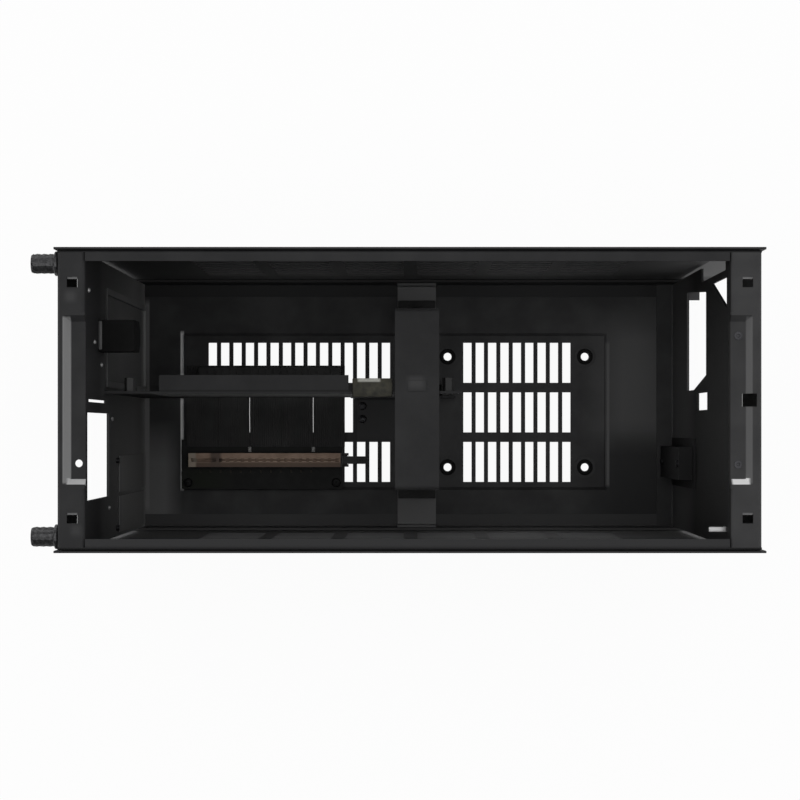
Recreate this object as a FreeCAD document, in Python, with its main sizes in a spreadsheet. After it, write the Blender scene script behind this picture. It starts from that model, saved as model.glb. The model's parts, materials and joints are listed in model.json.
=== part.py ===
"""Sandwich-layout mini-ITX computer case with its top cover off.

Millimetres, +X to the front, +Y to the motherboard side, +Z up. The feet stand on Z = 0, and the
origin is under the middle of the whole outline, thumb screws included.
"""
import FreeCAD, Part
import Sketcher
import math
import operator
import os
from types import SimpleNamespace

doc = FreeCAD.newDocument("mini_itx_case")

# Driving dimensions
SIZES = {
    # Outline and sheet
    "case_length": 326, "case_width": 140, "body_height": 236, "sheet": 1.2, "bend": 1,
    "panel_sheet": 1, "panel_gap": 0.3, "foot_height": 4,
    # Chamber for the motherboard and the card, measured from the rear wall to the bridge's reference line
    "chamber": 148.6,
    # Rear and front walls with their flanges and lips
    "rear_setback": 14.4, "front_setback": 16.7, "rear_rim": 1.6, "front_rim": 2,
    "rear_lip": 14, "rear_ear": 55, "rear_ear_width": 26, "front_lip": 55, "front_foot": 9,
    "joggle_depth": 2.8, "joggle_side": 31.2, "rear_joggle": 9.7, "front_joggle": 10.2,
    "catch_hole": 4.9, "catch_side": 16, "catch_inset": 8.5,
    "pin_hole_radius": 1.75, "pin_offset": 29, "pin_inset": 3.2,
    "notch_length": 6.4, "notch_width": 6, "notch_inset": 9.2,
    # Rear wall openings
    "window_near": 5.6, "window_far": 46.4, "window_drop": 8, "window_sill": 34,
    "slit_width": 1.3, "slit_drop": 12, "slit_sill": 44,
    "port_height": 158.75, "port_width": 44.45, "port_rise": 3.4, "port_offset": 9.2,
    "slot_pitch": 20.32, "slot_width": 12.9, "slot_height": 106, "slot_rise": 12, "slot_side": 13.7,
    "inlet_offset": 31.3, "inlet_rise": 15.65, "inlet_width": 15, "inlet_height": 24.5, "inlet_depth": 17,
    "inlet_flange": 1.8, "inlet_overlap": 2.5, "inlet_corner": 4, "inlet_gap": 0.2,
    "blade_thick": 2, "blade_wide": 4, "blade_spread": 7, "blade_earth": 3,
    # Front wall openings
    "vent_near": 7, "vent_side": 8.5, "vent_lean": 4.4, "vent_drop": 86.5, "vent_height": 79.5,
    "vent_slant": 6.5, "vent_slant_height": 49.5,
    "fin_side": 10.3, "fin_width": 14.7, "fin_drop": 11, "fin_height": 53,
    "edge_gap_width": 7, "edge_gap_drop": 15, "edge_gap_height": 91,
    "pass_near": 5, "pass_far": 3.7, "pass_drop": 82, "pass_height": 41,
    # Rails along the two sides
    "rail_width": 5.1, "rail_depth": 30, "sill_width": 8, "sill_height": 24,
    # Raised field and vents of the bottom plate
    "field_rear": 20.8, "field_front": 36.8, "field_left": 40.4, "field_right": 47.2, "field_rise": 1.6,
    "vent_pitch": 6.91, "vent_slot": 4.6, "vent_row": 22.3, "vent_row_pitch": 27.7, "vent_first": -42.7,
    "rear_vents": 35.6, "front_vents": 117,
    "drive_x": 125.8, "drive_y": -34.5, "drive_length": 76.6, "drive_width": 61.72,
    "drive_hole": 2.2, "drive_boss": 6, "drive_boss_rise": 0.8,
    # Motherboard tray and centre bridge
    "tray_y": 4, "tray_edge": 4.37, "tray_flange": 9, "tray_flange_rear": 122, "tray_flange_front": 30,
    "tray_ear": 14, "tray_foot": 22.7, "tray_foot_reach": 23,
    "cable_gate_height": 34, "cable_gate_rear": 126.5, "cable_gate_front": 33,
    "board_length": 154.94, "board_width": 157.48, "board_rear": 12.3, "board_low": 6.35,
    "standoff_length": 6.5, "standoff_radius": 3, "standoff_bore": 1.25, "standoff_depth": 5.5,
    "bridge_rear": -7.4, "bridge_width": 21.4, "bridge_lift": 3, "bridge_left": 45.4, "bridge_right": 42.8,
    "bridge_turn": 12, "bridge_tab_length": 9, "bridge_tab_width": 5, "bridge_tab_rise": 0.9,
    # Side panels with the tongues that hold them
    "panel_vent_length": 30, "panel_vent_height": 4.6, "panel_vent_pitch_x": 37,
    "panel_vent_pitch_z": 13.8, "panel_vent_x": 107.5, "panel_vent_z": 60,
    "tongue_inset": 7.5, "tongue_drop": 22, "tongue_rise": 15, "tongue_reach": 9, "tongue_width": 8,
    "tongue_sheet": 1.2, "tongue_chamfer": 2, "tongue_gap": 0.3,
    "clip_sheet": 0.4, "clip_depth": 9.5, "clip_flange": 3, "clip_gap": 0.05,
    # Thumb screws
    "thumb_reach": 11, "thumb_radius": 4.6, "thumb_collar": 5.7, "thumb_collar_height": 1.6, "thumb_side": 0.5,
    "thumb_drop": 7, "thumb_shank": 1.7, "thumb_length": 7, "thumb_ridge": 0.4, "thumb_seat": 0.3,
    "thread_clearance": 0.08,
    # Graphics card riser
    "riser_rear": 127.5, "riser_front": 38, "riser_right": 16.2, "riser_left": 11.3, "riser_lift": 4,
    "circuit_board": 1.6, "riser_slot_rear": 122.7, "riser_slot_length": 84.5, "riser_slot_shift": 5.68,
    "riser_slot_width": 7.6, "riser_slot_height": 11, "riser_groove": 1.9, "riser_groove_depth": 8,
    "riser_end": 1.6, "riser_key": 15.2, "riser_key_width": 1.8,
    "riser_post_inset": 3.5, "riser_post_radius": 3,
    "contact_pitch": 4, "contact_width": 2.2, "contact_sheet": 0.3,
    "latch_width": 4.2, "latch_pivot_x": 1.9, "latch_pivot_z": 2.2, "latch_pin": 1,
    "latch_pin_gap": 0.05, "latch_foot": 1.5, "latch_back": 1.5, "latch_reach": 12.6, "latch_rise": 10,
    "latch_lip": 1.5, "cheek_gap": 0.3, "cheek_length": 3.6, "cheek_height": 5,
    "ribbon_rear": 124.7, "ribbon_width": 17.2, "ribbon_pitch": 17.7, "ribbon_sheet": 1.1,
    "ribbon_overlap": 4,
    "plug_rear": 117, "plug_length": 78, "plug_left": 22, "plug_depth": 9, "plug_height": 7,
    "plug_card_inset": 3, "plug_card_reach": 7,
    # Front connection module
    "module_near": 22.5, "module_far": 39.5, "module_rise": 12.8, "module_height": 89, "module_depth": 8,
    "module_flange": 4.5, "module_boss": 2, "module_boss_half": 2.6, "module_inset": 0.8,
    "boss_rise": 9, "boss_down": 35,
    "shell_sheet": 0.4, "usb_a_width": 5.7, "usb_a_height": 13.1, "usb_a_reach": 13, "usb_a_tongue": 1.9,
    "usb_c_width": 3.2, "usb_c_height": 8.9, "usb_c_reach": 10, "usb_c_tongue": 0.7, "tongue_set_back": 1.2,
    "jack_width": 6, "jack_height": 8, "jack_reach": 11, "jack_bore": 1.8,
    "switch_width": 10, "switch_reach": 4.2, "button_radius": 4.5, "button_stem": 1.9, "button_lift": 1.7,
    "button_cap": 4.5, "button_gap": 0.3,
    "usb_a_down": 46, "usb_c_down": 66, "jack_down": 26, "button_down": 12,
    # Slot covers and blanking plate
    "cover_sheet": 0.8, "cover_width": 18.4, "cover_tail": 5, "cover_tab": 4, "cover_gap": 0.2,
    "clamp_height": 11, "clamp_reach": 4.4, "clamp_half": 20.5, "clamp_screw_half": 17,
    "blank_overlap": 2, "blank_gap": 0.3,
    # Catch springs under the flanges
    "catch_sheet": 0.5, "catch_length": 7, "catch_width": 4, "catch_leg": 5, "catch_bite": 1,
    # Feet and slot clamp screws
    "foot_length": 18, "foot_width": 10, "foot_x": 22, "foot_y": 18,
    "screw_head": 3, "screw_head_height": 1.8, "screw_shank": 1.4, "screw_length": 4, "screw_clearance": 0.1,
}
COUNTS = {
    "rear_vent_count": 15, "front_vent_count": 9, "vent_rows": 3, "panel_vent_columns": 6,
    "panel_vent_rows": 9, "ribbon_count": 5, "thumb_ridges": 18, "contact_count": 16,
}

sheet = doc.addObject("Spreadsheet::Sheet", "sizes")
for row, (alias, value) in enumerate({**SIZES, **COUNTS}.items(), start=1):
    sheet.set(f"A{row}", alias)
    sheet.set(f"B{row}", str(value))
    sheet.setAlias(f"B{row}", alias)
doc.recompute()


class Length:
    """A number with the expression that ties it to the sheet."""

    def __init__(self, value, text):
        self.value = value
        self.text = text

    def joined(self, sign, action, other):
        other = as_length(other)
        return Length(action(self.value, other.value), f"({self.text} {sign} {other.text})")

    def __add__(self, other):
        return self.joined("+", operator.add, other)

    def __sub__(self, other):
        return self.joined("-", operator.sub, other)

    def __mul__(self, other):
        return self.joined("*", operator.mul, other)

    def __truediv__(self, other):
        return self.joined("/", operator.truediv, other)

    def __neg__(self):
        return Length(-self.value, f"(-{self.text})")


def as_length(value):
    return value if isinstance(value, Length) else Length(value, str(value))


def larger(first, second):
    return Length(max(first.value, second.value), f"max({first.text}; {second.text})")


lengths = {alias: Length(value, f"sizes.{alias}") for alias, value in {**SIZES, **COUNTS}.items()}
size = SimpleNamespace(**lengths)

# Planes that the pieces share
centre = size.thumb_reach / 2
rear = centre - size.case_length / 2
front = centre + size.case_length / 2
half = size.case_width / 2
floor = size.foot_height
deck = floor + size.sheet
top = floor + size.body_height
rear_inside = rear + size.rear_setback
front_inside = front - size.front_setback
panel_inside = half - size.panel_sheet
rail_outside = panel_inside - size.panel_gap
rail_inside = rail_outside - size.sheet
outer_bend = size.bend + size.sheet
margin = size.sheet * 4
field_top = deck + size.field_rise
bridge_foot = deck + larger(size.sheet, size.field_rise)
chamber_end = rear_inside + size.chamber
bridge_start = chamber_end + size.bridge_rear

parts = {}


def tie(thing, path, value):
    """Bind a property to the sheet, or set it where it is a plain number."""
    thing.setExpression(path, as_length(value).text)


def new_body(label):
    body = doc.addObject("PartDesign::Body", label)
    body.Label = label
    parts[label] = body
    return body


def sketch_on(body, plane, at):
    """Sketch on one of the body's own planes, at a place along that plane's axis."""
    sketch = body.newObject("Sketcher::SketchObject", f"{body.Label}_sketch")
    support = next(item for item in body.Origin.OriginFeatures if item.Role == f"{plane}_Plane")
    sketch.AttachmentSupport = [(support, "")]
    sketch.MapMode = "FlatFace"
    at = as_length(at)
    tie(sketch, "AttachmentOffset.Base.z", -at if plane == "XZ" else at)
    return sketch


def direction(start, end):
    """Unit step from one corner to the next along the axis that they share."""
    steps = (end[0].value - start[0].value, end[1].value - start[1].value)
    return tuple(0 if abs(step) < 1e-9 else math.copysign(1, step) for step in steps)


def moved(corner, step, radius):
    return corner[0] + radius * step[0], corner[1] + radius * step[1]


def vector(point):
    return FreeCAD.Vector(point[0].value, point[1].value, 0)


def pin(sketch, geometry, position, point):
    """Hold a sketch point at its place from the origin."""
    for name, value in zip(("DistanceX", "DistanceY"), point):
        index = sketch.addConstraint(Sketcher.Constraint(name, -1, 1, geometry, position, value.value))
        sketch.setExpression(f"Constraints[{index}]", value.text)


def add_outline(sketch, corners):
    """Closed outline. A corner is (x, y), or (x, y, radius) where two square edges are rounded."""
    corners = [tuple(as_length(value) for value in corner) for corner in corners]
    places = []
    for index, corner in enumerate(corners):
        point = corner[:2]
        if len(corner) == 2:
            places.append((point, None))
            continue
        before = direction(corners[index - 1], corner)
        after = direction(corner, corners[(index + 1) % len(corners)])
        radius = corner[2]
        entry = moved(point, before, -radius)
        turn = before[0] * after[1] - before[1] * after[0]
        places.append((entry, (radius, moved(entry, after, radius), turn)))
        places.append((moved(point, after, radius), None))
    ends = []
    for index, (start, arc) in enumerate(places):
        finish = places[(index + 1) % len(places)][0]
        if arc is None:
            edge = sketch.addGeometry(Part.LineSegment(vector(start), vector(finish)))
            ends.append((edge, 1, 2))
            continue
        radius, middle, turn = arc
        circle = Part.Circle(vector(middle), FreeCAD.Vector(0, 0, 1), radius.value)
        first, last = (start, finish) if turn > 0 else (finish, start)
        span = [circle.parameter(vector(first)), circle.parameter(vector(last))]
        if span[1] < span[0]:
            span[1] += 2 * math.pi
        edge = sketch.addGeometry(Part.ArcOfCircle(circle, *span))
        ends.append((edge, 1, 2) if turn > 0 else (edge, 2, 1))
        limit = sketch.addConstraint(Sketcher.Constraint("Radius", edge, radius.value))
        sketch.setExpression(f"Constraints[{limit}]", radius.text)
    for index, (start, arc) in enumerate(places):
        edge, head, tail = ends[index]
        last_edge, last_head, last_tail = ends[index - 1]
        sketch.addConstraint(Sketcher.Constraint("Coincident", last_edge, last_tail, edge, head))
        pin(sketch, edge, head, start)


def add_circle(sketch, x, y, radius):
    middle = (as_length(x), as_length(y))
    radius = as_length(radius)
    edge = sketch.addGeometry(Part.Circle(vector(middle), FreeCAD.Vector(0, 0, 1), radius.value))
    pin(sketch, edge, 3, middle)
    limit = sketch.addConstraint(Sketcher.Constraint("Radius", edge, radius.value))
    sketch.setExpression(f"Constraints[{limit}]", radius.text)


def rectangle(x, y, radius=None):
    """Corners of a rectangle between two values of x and two of y, all rounded where a radius is given."""
    square = [(x[0], y[0]), (x[1], y[0]), (x[1], y[1]), (x[0], y[1])]
    return square if radius is None else [(*corner, radius) for corner in square]


def hexagon(radius):
    """Corners of a hexagon round the origin."""
    angles = [math.pi / 3 * corner for corner in range(6)]
    return [(radius * math.cos(angle), radius * math.sin(angle)) for angle in angles]


def extrude(kind, body, plane, start, stop, outlines=(), circles=(), taper=0):
    """Pad or Pocket from start to stop along the plane's axis."""
    sketch = sketch_on(body, plane, start)
    for corners in outlines:
        add_outline(sketch, corners)
    for circle in circles:
        add_circle(sketch, *circle)
    feature = body.newObject(f"PartDesign::{kind}", f"{body.Label}_{kind.lower()}")
    feature.Profile = sketch
    feature.AllowMultiFace = True
    tie(feature, "Length", as_length(stop) - start)
    feature.TaperAngle = taper
    forward_is_plain = plane != "XZ"
    feature.Reversed = forward_is_plain if kind == "Pocket" else not forward_is_plain
    return feature


def add(body, plane, start, stop, outlines=(), circles=(), taper=0):
    return extrude("Pad", body, plane, start, stop, outlines, circles, taper)


def cut(body, plane, start, stop, outlines=(), circles=(), taper=0):
    return extrude("Pocket", body, plane, start, stop, outlines, circles, taper)


def repeat(body, feature, steps):
    """Repeat a feature in rows: each step is an axis, a pitch and a count."""
    pattern = body.newObject("PartDesign::MultiTransform", f"{body.Label}_rows")
    pattern.Originals = [feature]
    rows = []
    for axis, pitch, count in steps:
        row = body.newObject("PartDesign::LinearPattern", f"{body.Label}_row")
        line = next(item for item in body.Origin.OriginFeatures if item.Role == f"{axis}_Axis")
        row.Direction = (line, [""])
        tie(row, "Length", pitch * (count - 1))
        tie(row, "Occurrences", count)
        rows.append(row)
    pattern.Transformations = rows
    body.Tip = pattern
    return pattern


def turned(body, plane, profile):
    """Solid of revolution about the vertical axis of the sketch plane."""
    sketch = sketch_on(body, plane, 0)
    add_outline(sketch, profile)
    feature = body.newObject("PartDesign::Revolution", f"{body.Label}_revolution")
    feature.Profile = sketch
    feature.ReferenceAxis = (sketch, ["V_Axis"])
    return feature


TURNS = {
    "up": FreeCAD.Rotation(),
    "down": FreeCAD.Rotation(FreeCAD.Vector(1, 0, 0), 180),
    "rear": FreeCAD.Rotation(FreeCAD.Vector(0, 1, 0), -90),
    "front": FreeCAD.Rotation(FreeCAD.Vector(0, 1, 0), 90),
    "left": FreeCAD.Rotation(FreeCAD.Vector(1, 0, 0), -90),
    "right": FreeCAD.Rotation(FreeCAD.Vector(1, 0, 0), 90),
}


def group(label, pattern, places):
    """Like pieces in one node: copies of a pattern body, each at its place and facing its way."""
    links = []
    for index, (x, y, z, facing) in enumerate(places):
        link = doc.addObject("App::Link", f"{label}_{index}")
        link.LinkedObject = pattern
        link.Placement = FreeCAD.Placement(FreeCAD.Vector(), TURNS[facing])
        for axis, value in zip("xyz", (x, y, z)):
            tie(link, f"Placement.Base.{axis}", value)
        links.append(link)
    compound = doc.addObject("Part::Compound", label)
    compound.Label = label
    compound.Links = links
    parts[label] = compound


def pattern_body(label):
    """Body that only serves as the pattern of a group, and is written to no file of its own."""
    body = new_body(label)
    del parts[label]
    return body


def bottom_plate():
    """Flat floor with a raised field, its vent slots, and pressed bosses for a drive."""
    body = new_body("bottom_plate")
    edges = (rear + size.rear_rim, front_inside + size.sheet), (-rail_outside, rail_outside)
    add(body, "XY", floor, deck, [rectangle(*edges)])
    x_field = rear_inside + size.field_rear, front_inside - size.field_front
    y_field = -size.field_right, size.field_left
    add(body, "XY", deck, field_top, [rectangle(x_field, y_field)], taper=-45)
    inset = size.sheet * (math.sqrt(2) - 1)
    hollow = (x_field[0] + inset, x_field[1] - inset), (y_field[0] + inset, y_field[1] - inset)
    cut(body, "XY", floor, floor + size.field_rise, [rectangle(*hollow)], taper=-45)
    bosses = [(x, y, size.drive_boss) for x, y in drive_places()]
    add(body, "XY", field_top, field_top + size.drive_boss_rise, circles=bosses)
    holes = [(x, y, size.drive_hole) for x, y in drive_places()]
    cut(body, "XY", floor - margin, field_top + margin, circles=holes)
    rear_first = rear_inside + size.rear_vents
    front_first = front_inside - size.front_vents
    for x, count in ((rear_first, size.rear_vent_count), (front_first, size.front_vent_count)):
        slot = rectangle((x, x + size.vent_slot), (size.vent_first, size.vent_first + size.vent_row))
        vent = cut(body, "XY", floor - margin, deck + margin, [slot])
        repeat(body, vent, [("X", size.vent_pitch, count), ("Y", size.vent_row_pitch, size.vent_rows)])


def drive_places():
    """Four fixing points of a 2.5 inch drive laid on the bottom plate."""
    x = front_inside - size.drive_x
    return [(x + dx, size.drive_y + dy) for dx in (0, size.drive_length) for dy in (0, size.drive_width)]


def foot_places():
    y = half - size.foot_y
    return [(x, y * side) for x in (rear + size.foot_x, front_inside - size.foot_x) for side in (-1, 1)]


def joggle(body, rim, inside, outward):
    """Pressed step in a wall's top flange, with sloping sides, open towards the inside of the case."""
    skin = size.sheet * math.sqrt(2)
    depth = size.joggle_depth
    wide = half - size.joggle_side
    far = inside - (margin + depth) * 2 * outward
    pressed = rectangle((rim + skin * outward, far), (-wide - skin, wide + skin))
    hollow = rectangle((rim, far), (-wide, wide))
    press = extrude("Pad", body, "XY", top, top + depth + size.sheet, [pressed], taper=-45)
    press.Reversed = True
    beyond = rectangle((inside, far - margin * outward), (-half, half))
    cut(body, "XY", top - margin * 2, top + margin, [beyond])
    press = extrude("Pocket", body, "XY", top, top + depth, [hollow], taper=-45)
    press.Reversed = False


def catch_holes(body, x):
    """Square holes in a top flange for the cover's pegs."""
    reach = size.catch_hole / 2
    catches = []
    for side in (-1, 1):
        y = (half - size.catch_side) * side
        catches.append(rectangle((x - reach, x + reach), (y - reach, y + reach)))
    cut(body, "XY", top - margin, top + margin, catches)


def slot_centres():
    outer = -(half - size.slot_side)
    return [outer + size.slot_pitch, outer]


def rear_wall():
    """Folded rear wall: foot, upright, top flange and a lip, deep at its two ends for the thumb screws."""
    body = new_body("rear_wall")
    lip = rear + size.rear_rim
    outside = rear_inside - size.sheet
    under = top - size.sheet
    profile = [
        (lip, deck), (rear_inside, deck, outer_bend), (rear_inside, top, outer_bend), (lip, top, outer_bend),
        (lip, top - size.rear_ear), (lip + size.sheet, top - size.rear_ear), (lip + size.sheet, under, size.bend),
        (outside, under, size.bend), (outside, deck + size.sheet, size.bend), (lip, deck + size.sheet),
    ]
    add(body, "XZ", -rail_inside, rail_inside, [profile])
    joggle(body, rear_inside - size.rear_joggle, rear_inside, -1)
    catch_holes(body, rear + size.catch_inset)
    pin = rear_inside - size.pin_inset, -size.pin_offset, size.pin_hole_radius
    cut(body, "XY", top - margin, top + margin, circles=[pin])
    ear = half - size.rear_ear_width
    recess = rectangle((-ear, ear), (top - size.rear_ear - margin, top - size.rear_lip))
    cut(body, "YZ", lip - size.sheet, lip + size.sheet * 2, [recess])
    slot_top = slot_span()[1]
    window = rectangle((-size.window_far, -size.window_near), (slot_top + size.window_sill, top - size.window_drop))
    slit_edge = size.slit_width / 2
    slit = rectangle((-slit_edge, slit_edge), (slot_top + size.slit_sill, top - size.slit_drop))
    ports = rectangle((size.port_offset, size.port_offset + size.port_width), port_span())
    slots = []
    for y in slot_centres():
        slots.append(rectangle((y - size.slot_width / 2, y + size.slot_width / 2), slot_span()))
    screws = [(y, clamp_screw_height(), size.screw_shank + size.screw_clearance) for y in clamp_screw_places()]
    openings = [window, slit, ports, *slots, inlet_outline(size.inlet_gap)]
    cut(body, "YZ", outside - size.sheet, rear_inside + size.sheet, openings, screws)
    thread = size.thumb_shank + size.thread_clearance
    threads = [(thumb_offset() * side, top - size.thumb_drop, thread) for side in (-1, 1)]
    cut(body, "YZ", lip - size.sheet, lip + size.sheet * 2, circles=threads)


def thumb_offset():
    return panel_inside - size.thumb_collar - size.thumb_side


def port_span():
    low = deck + size.port_rise
    return low, low + size.port_height


def slot_span():
    low = deck + size.slot_rise
    return low, low + size.slot_height


def inlet_height():
    return port_span()[1] + size.inlet_rise


def inlet_outline(gap):
    """Mains inlet seen from the rear: a rectangle with its two lower corners taken off."""
    y = size.inlet_width / 2 + gap
    z = size.inlet_height / 2 + gap
    middle = inlet_height()
    corner = size.inlet_corner
    places = [(-y, z), (-y, corner - z), (corner - y, -z), (y - corner, -z), (y, corner - z), (y, z)]
    return [(size.inlet_offset + across, middle + up) for across, up in places]


def front_wall():
    """Folded front wall: foot, upright with its windows and strut, top flange and lip."""
    body = new_body("front_wall")
    lip = front - size.front_rim
    outside = front_inside + size.sheet
    under = top - size.sheet
    profile = [
        (front_inside - size.front_foot, deck), (outside, deck, outer_bend), (outside, under, size.bend),
        (lip - size.sheet, under, size.bend), (lip - size.sheet, top - size.front_lip),
        (lip, top - size.front_lip), (lip, top, outer_bend), (front_inside, top, outer_bend),
        (front_inside, deck + size.sheet, size.bend), (front_inside - size.front_foot, deck + size.sheet),
    ]
    add(body, "XZ", -rail_inside, rail_inside, [profile])
    joggle(body, front_inside + size.front_joggle, front_inside, 1)
    catch_holes(body, front - size.catch_inset)
    notch_x = front_inside + size.notch_inset
    notch = rectangle((notch_x - size.notch_length / 2, notch_x + size.notch_length / 2),
                      (-size.notch_width / 2, size.notch_width / 2))
    cut(body, "XY", top - margin, top + margin, [notch])
    high = top - size.vent_drop
    low = high - size.vent_height
    near = size.vent_near
    far = rail_inside - size.vent_side
    vent = [(near, low), (far, low), (far - size.vent_lean, high), (near + size.vent_slant, high),
            (near, high - size.vent_slant_height)]
    ledge = top - size.fin_drop
    fin_far = rail_inside - size.fin_side
    fin = [(fin_far - size.fin_width, ledge), (fin_far, ledge - size.fin_height), (fin_far, ledge)]
    gap_top = top - size.edge_gap_drop
    gap = rectangle((rail_inside - size.edge_gap_width, half), (gap_top - size.edge_gap_height, gap_top))
    pass_top = top - size.pass_drop
    cable_pass = rectangle((-size.pass_far, size.pass_near), (pass_top - size.pass_height, pass_top))
    module = rectangle((-size.module_far, -size.module_near), module_span())
    openings = [vent, fin, gap, cable_pass, module]
    cut(body, "YZ", front_inside - size.sheet, outside + size.sheet, openings)


def module_span():
    low = deck + size.module_rise
    return low, low + size.module_height


def tongue_places(side):
    """Where the four tongues of a side panel sit."""
    ends = rear + size.tongue_inset, front - size.tongue_inset
    levels = deck + size.tongue_rise, top - size.tongue_drop
    return [(x, panel_inside * side, z) for x in ends for z in levels]


def rail(label, side, profile, trims, level):
    """Folded angle along one side of the case, slotted for the two panel tongues on it."""
    body = new_body(label)
    corners = [(corner[0] * side, *corner[1:]) for corner in profile]
    add(body, "YZ", rear + size.rear_rim, front - size.front_rim, [corners])
    edge = sorted((0, side))
    inner = [rail_inside * end for end in edge]
    cut(body, "XY", deck, top + margin, [rectangle(span, inner) for span in trims])
    wide = size.tongue_width / 2 + size.tongue_gap
    thick = size.tongue_sheet / 2 + size.tongue_gap
    slots = []
    for x, y, z in tongue_places(side):
        if z.text == level.text:
            slots.append(rectangle((x - wide, x + wide), (z - thick, z + thick)))
    walls = sorted((rail_inside * side - size.sheet, rail_outside * side + size.sheet), key=lambda y: y.value)
    cut(body, "XZ", *walls, slots)


def rails():
    under = top - size.sheet
    low = top - size.rail_depth
    shelf = rail_outside - size.rail_width
    top_profile = [(rail_outside, low), (rail_outside, top, outer_bend), (shelf, top), (shelf, under),
                   (rail_inside, under, size.bend), (rail_inside, low)]
    sill = rail_outside - size.sill_width
    step = deck + size.sheet
    high = deck + size.sill_height
    sill_profile = [(sill, deck), (rail_outside, deck, outer_bend), (rail_outside, high), (rail_inside, high),
                    (rail_inside, step, size.bend), (sill, step)]
    behind = rear - margin, rear_inside
    ahead = front_inside, front + margin
    ahead_of_foot = front_inside - size.front_foot, front + margin
    for name, side in (("motherboard_side", 1), ("graphics_side", -1)):
        rail(f"{name}_top_rail", side, top_profile, [behind, ahead], top - size.tongue_drop)
        rail(f"{name}_bottom_rail", side, sill_profile, [behind, ahead_of_foot], deck + size.tongue_rise)


def motherboard_tray():
    """Upright sheet between the two chambers, with a foot by the bridge and a gate for the riser's ribbons."""
    body = new_body("motherboard_tray")
    foot = field_top
    gate_top = foot + size.cable_gate_height
    gate = chamber_end - size.cable_gate_rear, chamber_end - size.cable_gate_front
    bridge_front = bridge_start + size.bridge_width
    end = rear_inside + size.board_rear + size.board_length + size.standoff_radius * 2
    corners = [
        (rear_inside, foot), (gate[0], foot), (gate[0], gate_top), (gate[1], gate_top), (gate[1], foot),
        (end, foot), (end, foot + size.tray_ear), (bridge_front, foot + size.tray_ear),
        (bridge_front, tray_top - size.tray_ear), (end, tray_top - size.tray_ear),
        (end, tray_top), (rear_inside, tray_top),
    ]
    back = size.tray_y + size.sheet
    add(body, "XZ", size.tray_y, back, [corners])
    flange = rectangle((chamber_end - size.tray_flange_rear, chamber_end - size.tray_flange_front),
                       (size.tray_y, size.tray_y + size.tray_flange))
    add(body, "XY", tray_top - size.sheet, tray_top, [flange])
    sole = rectangle((bridge_start - size.tray_foot, bridge_start),
                     (size.tray_y - size.tray_foot_reach, size.tray_y))
    add(body, "XY", foot, foot + size.sheet, [sole])


tray_top = field_top + size.board_low + size.board_width + size.tray_edge


def standoff_places():
    x = rear_inside + size.board_rear
    z = field_top + size.board_low
    return [(x + dx, z + dz) for dx in (0, size.board_length) for dz in (0, size.board_width)]


def centre_bridge():
    """Hat-shaped bridge folded from one strip, standing on the two bottom rails."""
    body = new_body("centre_bridge")
    foot = bridge_foot
    step = foot + size.sheet
    crown = tray_top + size.bridge_lift
    under = crown - size.sheet
    turn = foot + size.bridge_turn
    left = size.bridge_left
    right = -size.bridge_right
    end = rail_inside
    inner_end = end - size.sheet
    bend = size.bend
    profile = [
        (-end, turn), (-end, foot, outer_bend), (right + size.sheet, foot, outer_bend),
        (right + size.sheet, under, bend), (left - size.sheet, under, bend),
        (left - size.sheet, foot, outer_bend), (end, foot, outer_bend), (end, turn),
        (inner_end, turn), (inner_end, step, bend), (left, step, bend), (left, crown, outer_bend),
        (right, crown, outer_bend), (right, step, bend), (-inner_end, step, bend), (-inner_end, turn),
    ]
    x = bridge_start
    add(body, "YZ", x, x + size.bridge_width, [profile])
    tab_x = x + size.bridge_width / 2
    tab_y = size.tray_y + size.sheet
    tab = rectangle((tab_x - size.bridge_tab_length / 2, tab_x + size.bridge_tab_length / 2),
                    (tab_y, tab_y + size.bridge_tab_width))
    add(body, "XY", crown, crown + size.bridge_tab_rise, [tab])


def side_panels():
    """Flat outer panels with rows of vent slots, pulled straight off."""
    for name, side in (("motherboard_side_panel", 1), ("graphics_side_panel", -1)):
        body = new_body(name)
        walls = sorted((panel_inside * side, half * side), key=lambda y: y.value)
        add(body, "XZ", *walls, [rectangle((rear, front), (floor, top))])
        x = centre - size.panel_vent_x
        z = floor + size.panel_vent_z
        slot = rectangle((x, x + size.panel_vent_length), (z, z + size.panel_vent_height))
        vent = cut(body, "XZ", walls[0] - margin, walls[1] + margin, [slot])
        repeat(body, vent, [("X", size.panel_vent_pitch_x, size.panel_vent_columns),
                            ("Z", size.panel_vent_pitch_z, size.panel_vent_rows)])


def panel_tongues():
    """Flat tongues on the panels, and the sprung channels behind the rail slots that grip them."""
    tongue = pattern_body("panel_tongue")
    wide = size.tongue_width / 2
    narrow = wide - size.tongue_chamfer
    reach = size.tongue_reach
    shoulder = reach - size.tongue_chamfer
    blade = [(-wide, 0), (wide, 0), (wide, shoulder), (narrow, reach), (-narrow, reach), (-wide, shoulder)]
    thick = size.tongue_sheet / 2
    add(tongue, "XZ", -thick, thick, [blade])
    clip = pattern_body("tongue_clip")
    inner = thick + size.clip_gap
    outer = inner + size.clip_sheet
    rim = outer + size.clip_flange
    leaf = size.clip_sheet
    deep = size.clip_depth
    channel = [(inner, 0), (rim, 0), (rim, leaf), (outer, leaf), (outer, deep), (-outer, deep), (-outer, leaf),
               (-rim, leaf), (-rim, 0), (-inner, 0), (-inner, deep - leaf), (inner, deep - leaf)]
    add(clip, "YZ", -wide, wide, [channel])
    for name, side, facing in (("motherboard_side", 1, "right"), ("graphics_side", -1, "left")):
        places = tongue_places(side)
        group(f"{name}_tongues", tongue, [(x, y, z, facing) for x, y, z in places])
        group(f"{name}_clips", clip, [(x, rail_inside * side, z, facing) for x, y, z in places])


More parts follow.
